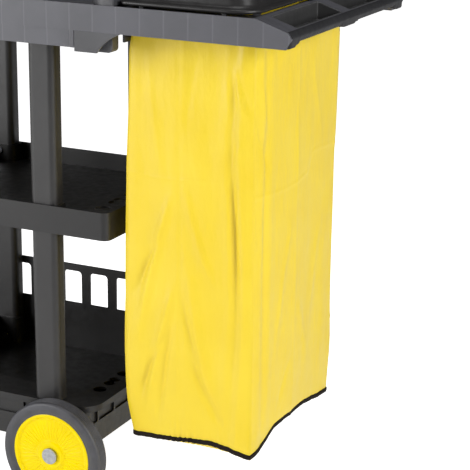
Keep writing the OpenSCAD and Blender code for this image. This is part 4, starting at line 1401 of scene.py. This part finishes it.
    def threads(self, seam: np.ndarray) -> bpy.types.Object:
        """Loose thread ends at the tape's join: short arcs that leave the seam and droop.

        Args:
            seam: The wall's lowest row.

        Returns:
            The bundle of threads.
        """
        join = seam[np.argmin(np.abs(seam[:, 0] - 389) + 10 * (seam[:, 1] > 0))]
        draw = np.random.default_rng(self.seed)
        t = np.linspace(0, 1, 9)[:, None]
        bundle = Surface(np.empty((0, 3)), [])
        for lean in self.thread_spread:
            reach = draw.uniform(5, 9)
            arc = np.hstack([lean * t, -2.5 * np.sin(t * 2), reach * t * (0.9 - 1.3 * t)])
            bundle += tube(join + [0, -2.6, 4.0] + arc, 0.55)
        ends = put_in("bag_threads", bundle, "cart", Slot.TAPE)
        self.lay_out(ends)
        return ends


# ---------------------------------------------------------------- wheels


@dataclass
class RearWheel:
    """A fixed rear wheel: grooved tyre, ribbed yellow disc and a turned cap."""

    side: str
    grooves: int = 5
    ribs: int = 48
    segments: int = 192

    def span(self) -> tuple[tuple[float, float], float, float, float]:
        """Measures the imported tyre.

        Returns:
            X and Z of its centre, its outer radius, and Y of its inner and its outer face.
        """
        lo, hi = cad_box(f"rear_tyre_{self.side}")
        centre = ((lo[0] + hi[0]) / 2, (lo[2] + hi[2]) / 2)
        inner, outer = (hi[1], lo[1]) if self.side == "left" else (lo[1], hi[1])
        return centre, (hi[0] - lo[0]) / 2, inner, outer

    def build(self) -> None:
        """Turns the tyre and the hub."""
        centre, radius, inner, outer = self.span()
        way = 1 if outer > inner else -1
        width = abs(outer - inner)
        body = f"rear_wheel_{self.side}"
        profile = self.tyre_profile(radius, width) * [1, way] + [0, inner]
        shape = turned(profile, centre, self.segments)
        tyre = put_in(f"rear_tyre_{self.side}_skin", shape, body, Slot.TYRE, sharp=70)
        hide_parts(f"rear_tyre_{self.side}")
        disc = self.hub(centre, inner, way, width)
        hub = put_in(f"rear_hub_{self.side}_skin", disc, body, Slot.HUB, sharp=50)
        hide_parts(f"rear_hub_{self.side}")

    def tyre_profile(self, radius: float, width: float) -> np.ndarray:
        """The tyre's section: a flat tread with fine grooves, round shoulders and a raised side band.

        Args:
            radius: Outer radius.
            width: Width of the tyre.

        Returns:
            Pairs of radius and distance from the inner face. On the tread a groove is a
            narrow bell cut into the radius; the shoulders are quarter ovals.
        """
        across = np.linspace(6.5, width - 6.5, 76)
        pitch = (width - 15) / self.grooves
        phase = (across - 7.5) / pitch
        nearest = np.clip(np.round(phase - 0.5) + 0.5, 0.5, self.grooves - 0.5)
        cut = 1.5 * np.exp(-((((phase - nearest) * pitch) / 0.75) ** 2))
        crown = 0.5 * ((across - width / 2) / (width / 2)) ** 2
        tread = np.column_stack([radius - crown - cut, across])
        turn = np.linspace(0, math.pi / 2, 9)[1:]
        drop, reach = 7 * (1 - np.cos(turn)), 6.0 * np.sin(turn)
        shoulder = np.column_stack([radius - 0.35 - drop, width - 6.5 + reach])
        band = np.array([
            [radius - 9.5, width + 0.1], [radius - 13.0, width + 0.2], [radius - 16.5, width - 0.3],
            [radius - 18.2, width - 1.4], [radius - 20.0, width - 2.2], [radius - 22.6, width - 2.6],
        ])
        outside = np.vstack([shoulder, band])
        inside = np.column_stack([outside[:, 0], width - outside[:, 1]])[::-1]
        return np.vstack([inside, tread, outside])

    def hub(self, centre: tuple[float, float], inner: float, way: int, width: float) -> Surface:
        """The disc: a dished web with radial ribs between a rim and a boss.

        Args:
            centre: X and Z of the axle.
            inner: Y of the wheel's inner face.
            way: Direction of the outer face.
            width: Width of the wheel.

        Returns:
            The disc. A rib is a narrow bell in the angle that lifts the web's outer face.
        """
        face = [
            (79.0, 6.0, 0), (79.0, width - 3.2, 0), (77.8, width - 2.2, 0), (75.4, width - 2.0, 0),
            (73.4, width - 2.8, 0), (72.2, width - 4.6, 0), (71.0, width - 6.2, 0.3), (66.0, width - 6.6, 1),
            (56.0, width - 6.2, 1), (44.0, width - 5.6, 1), (33.0, width - 5.0, 1), (27.5, width - 4.7, 0.3),
            (26.0, width - 3.6, 0), (24.4, width - 1.2, 0), (22.8, width - 0.6, 0), (11.0, width - 0.6, 0),
            (9.55, width - 1.2, 0), (9.55, 3.6, 0), (11.0, 3.0, 0), (23.0, 3.0, 0), (24.0, 4.0, 0),
            (26.0, width - 14.0, 0), (70.0, width - 14.5, 0), (72.5, 7.0, 0), (73.0, 4.0, 0), (74.0, 3.0, 0),
            (78.0, 3.0, 0),
        ]
        table = np.array(face)
        angle = np.linspace(0, 2 * math.pi, self.ribs * 8, endpoint=False)
        rib = np.exp(-((np.sin(angle * self.ribs / 2) / 0.28) ** 2))
        radius = table[:, 0][:, None] + 0 * angle
        y = inner + way * (table[:, 1][:, None] + 0.9 * table[:, 2][:, None] * rib)
        x, z = centre[0] + radius * np.cos(angle), centre[1] + radius * np.sin(angle)
        points = np.stack([x, y, z], axis=-1)
        return grid(points, close_rows=True, close_cols=True)


@dataclass
class Caster:
    """A swivel caster: pressed fork and plate, rubber tyre and moulded hub."""

    side: str
    segments: int = 96

    def build(self) -> None:
        """Rounds the pressings and turns the wheel."""
        Moulding(f"caster_plate_{self.side}", Slot.STEEL, "cart", 0.6).build()
        Moulding(f"caster_fork_{self.side}", Slot.STEEL, f"caster_{self.side}", 0.6).build()
        lo, hi = cad_box(f"caster_tyre_{self.side}")
        centre = ((lo[0] + hi[0]) / 2, (lo[2] + hi[2]) / 2)
        radius, middle, half = (hi[0] - lo[0]) / 2, (lo[1] + hi[1]) / 2, (hi[1] - lo[1]) / 2
        turn = np.linspace(0, math.pi / 2, 8)
        top = np.column_stack([radius - 0.4 - 5 * (1 - np.cos(turn)), half - 5 + 5 * np.sin(turn)])
        rest = np.array([[radius - 8, half - 0.3], [radius - 10.0, half - 1.4]])
        outside = np.vstack([[[radius, half * 0.3]], top, rest])
        profile = np.vstack([outside[::-1] * [1, -1], outside]) + [0, middle]
        body = f"caster_wheel_{self.side}"
        shape = turned(profile, centre, self.segments)
        tyre = put_in(f"caster_tyre_{self.side}_skin", shape, body, Slot.TYRE, sharp=60)
        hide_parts(f"caster_tyre_{self.side}")
        rim = radius - 10
        face = np.array([
            [rim, half - 2.2], [rim - 1.0, half - 1.6], [rim - 4, half - 1.8], [rim - 5.6, half - 3.4],
            [rim - 7.0, 5.0], [rim - 9.0, 3.2], [15.0, 3.0], [13.2, 4.5],
            [12.3, half - 1.4], [11.4, half - 0.2], [4.9, half - 0.2], [4.08, half - 1.0],
        ])
        profile = np.vstack([face[::-1] * [1, -1], face])
        shape = turned(profile[::-1] + [0, middle], centre, self.segments)
        hub = put_in(f"caster_hub_{self.side}_skin", shape, body, Slot.BUSH, sharp=50)
        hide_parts(f"caster_hub_{self.side}")


def dress_kept_nodes() -> None:
    """Gives every node that still shows the finish of its slot."""
    slots = {part["node"]: part["material_slot"] for part in frame["record"]["subparts"]}
    for name, node in frame["nodes"].items():
        if not node.hide_render:
            node.data.materials.clear()
            node.data.materials.append(FINISHES[Slot(slots[name])].material())
            LOG.info("%s keeps its packed shape", name)


def main() -> None:
    """Builds the studio and the cart, piece by piece."""
    logging.basicConfig(level=logging.INFO, format="%(name)s: %(message)s")
    Studio().build()
    Chassis().build()
    HandleEnd().build()
    BagLid().build()
    WasteBag().build()
    for side in ("left", "right"):
        RearWheel(side).build()
        Caster(side).build()
    dress_kept_nodes()


if __name__ == "__main__":
    main()
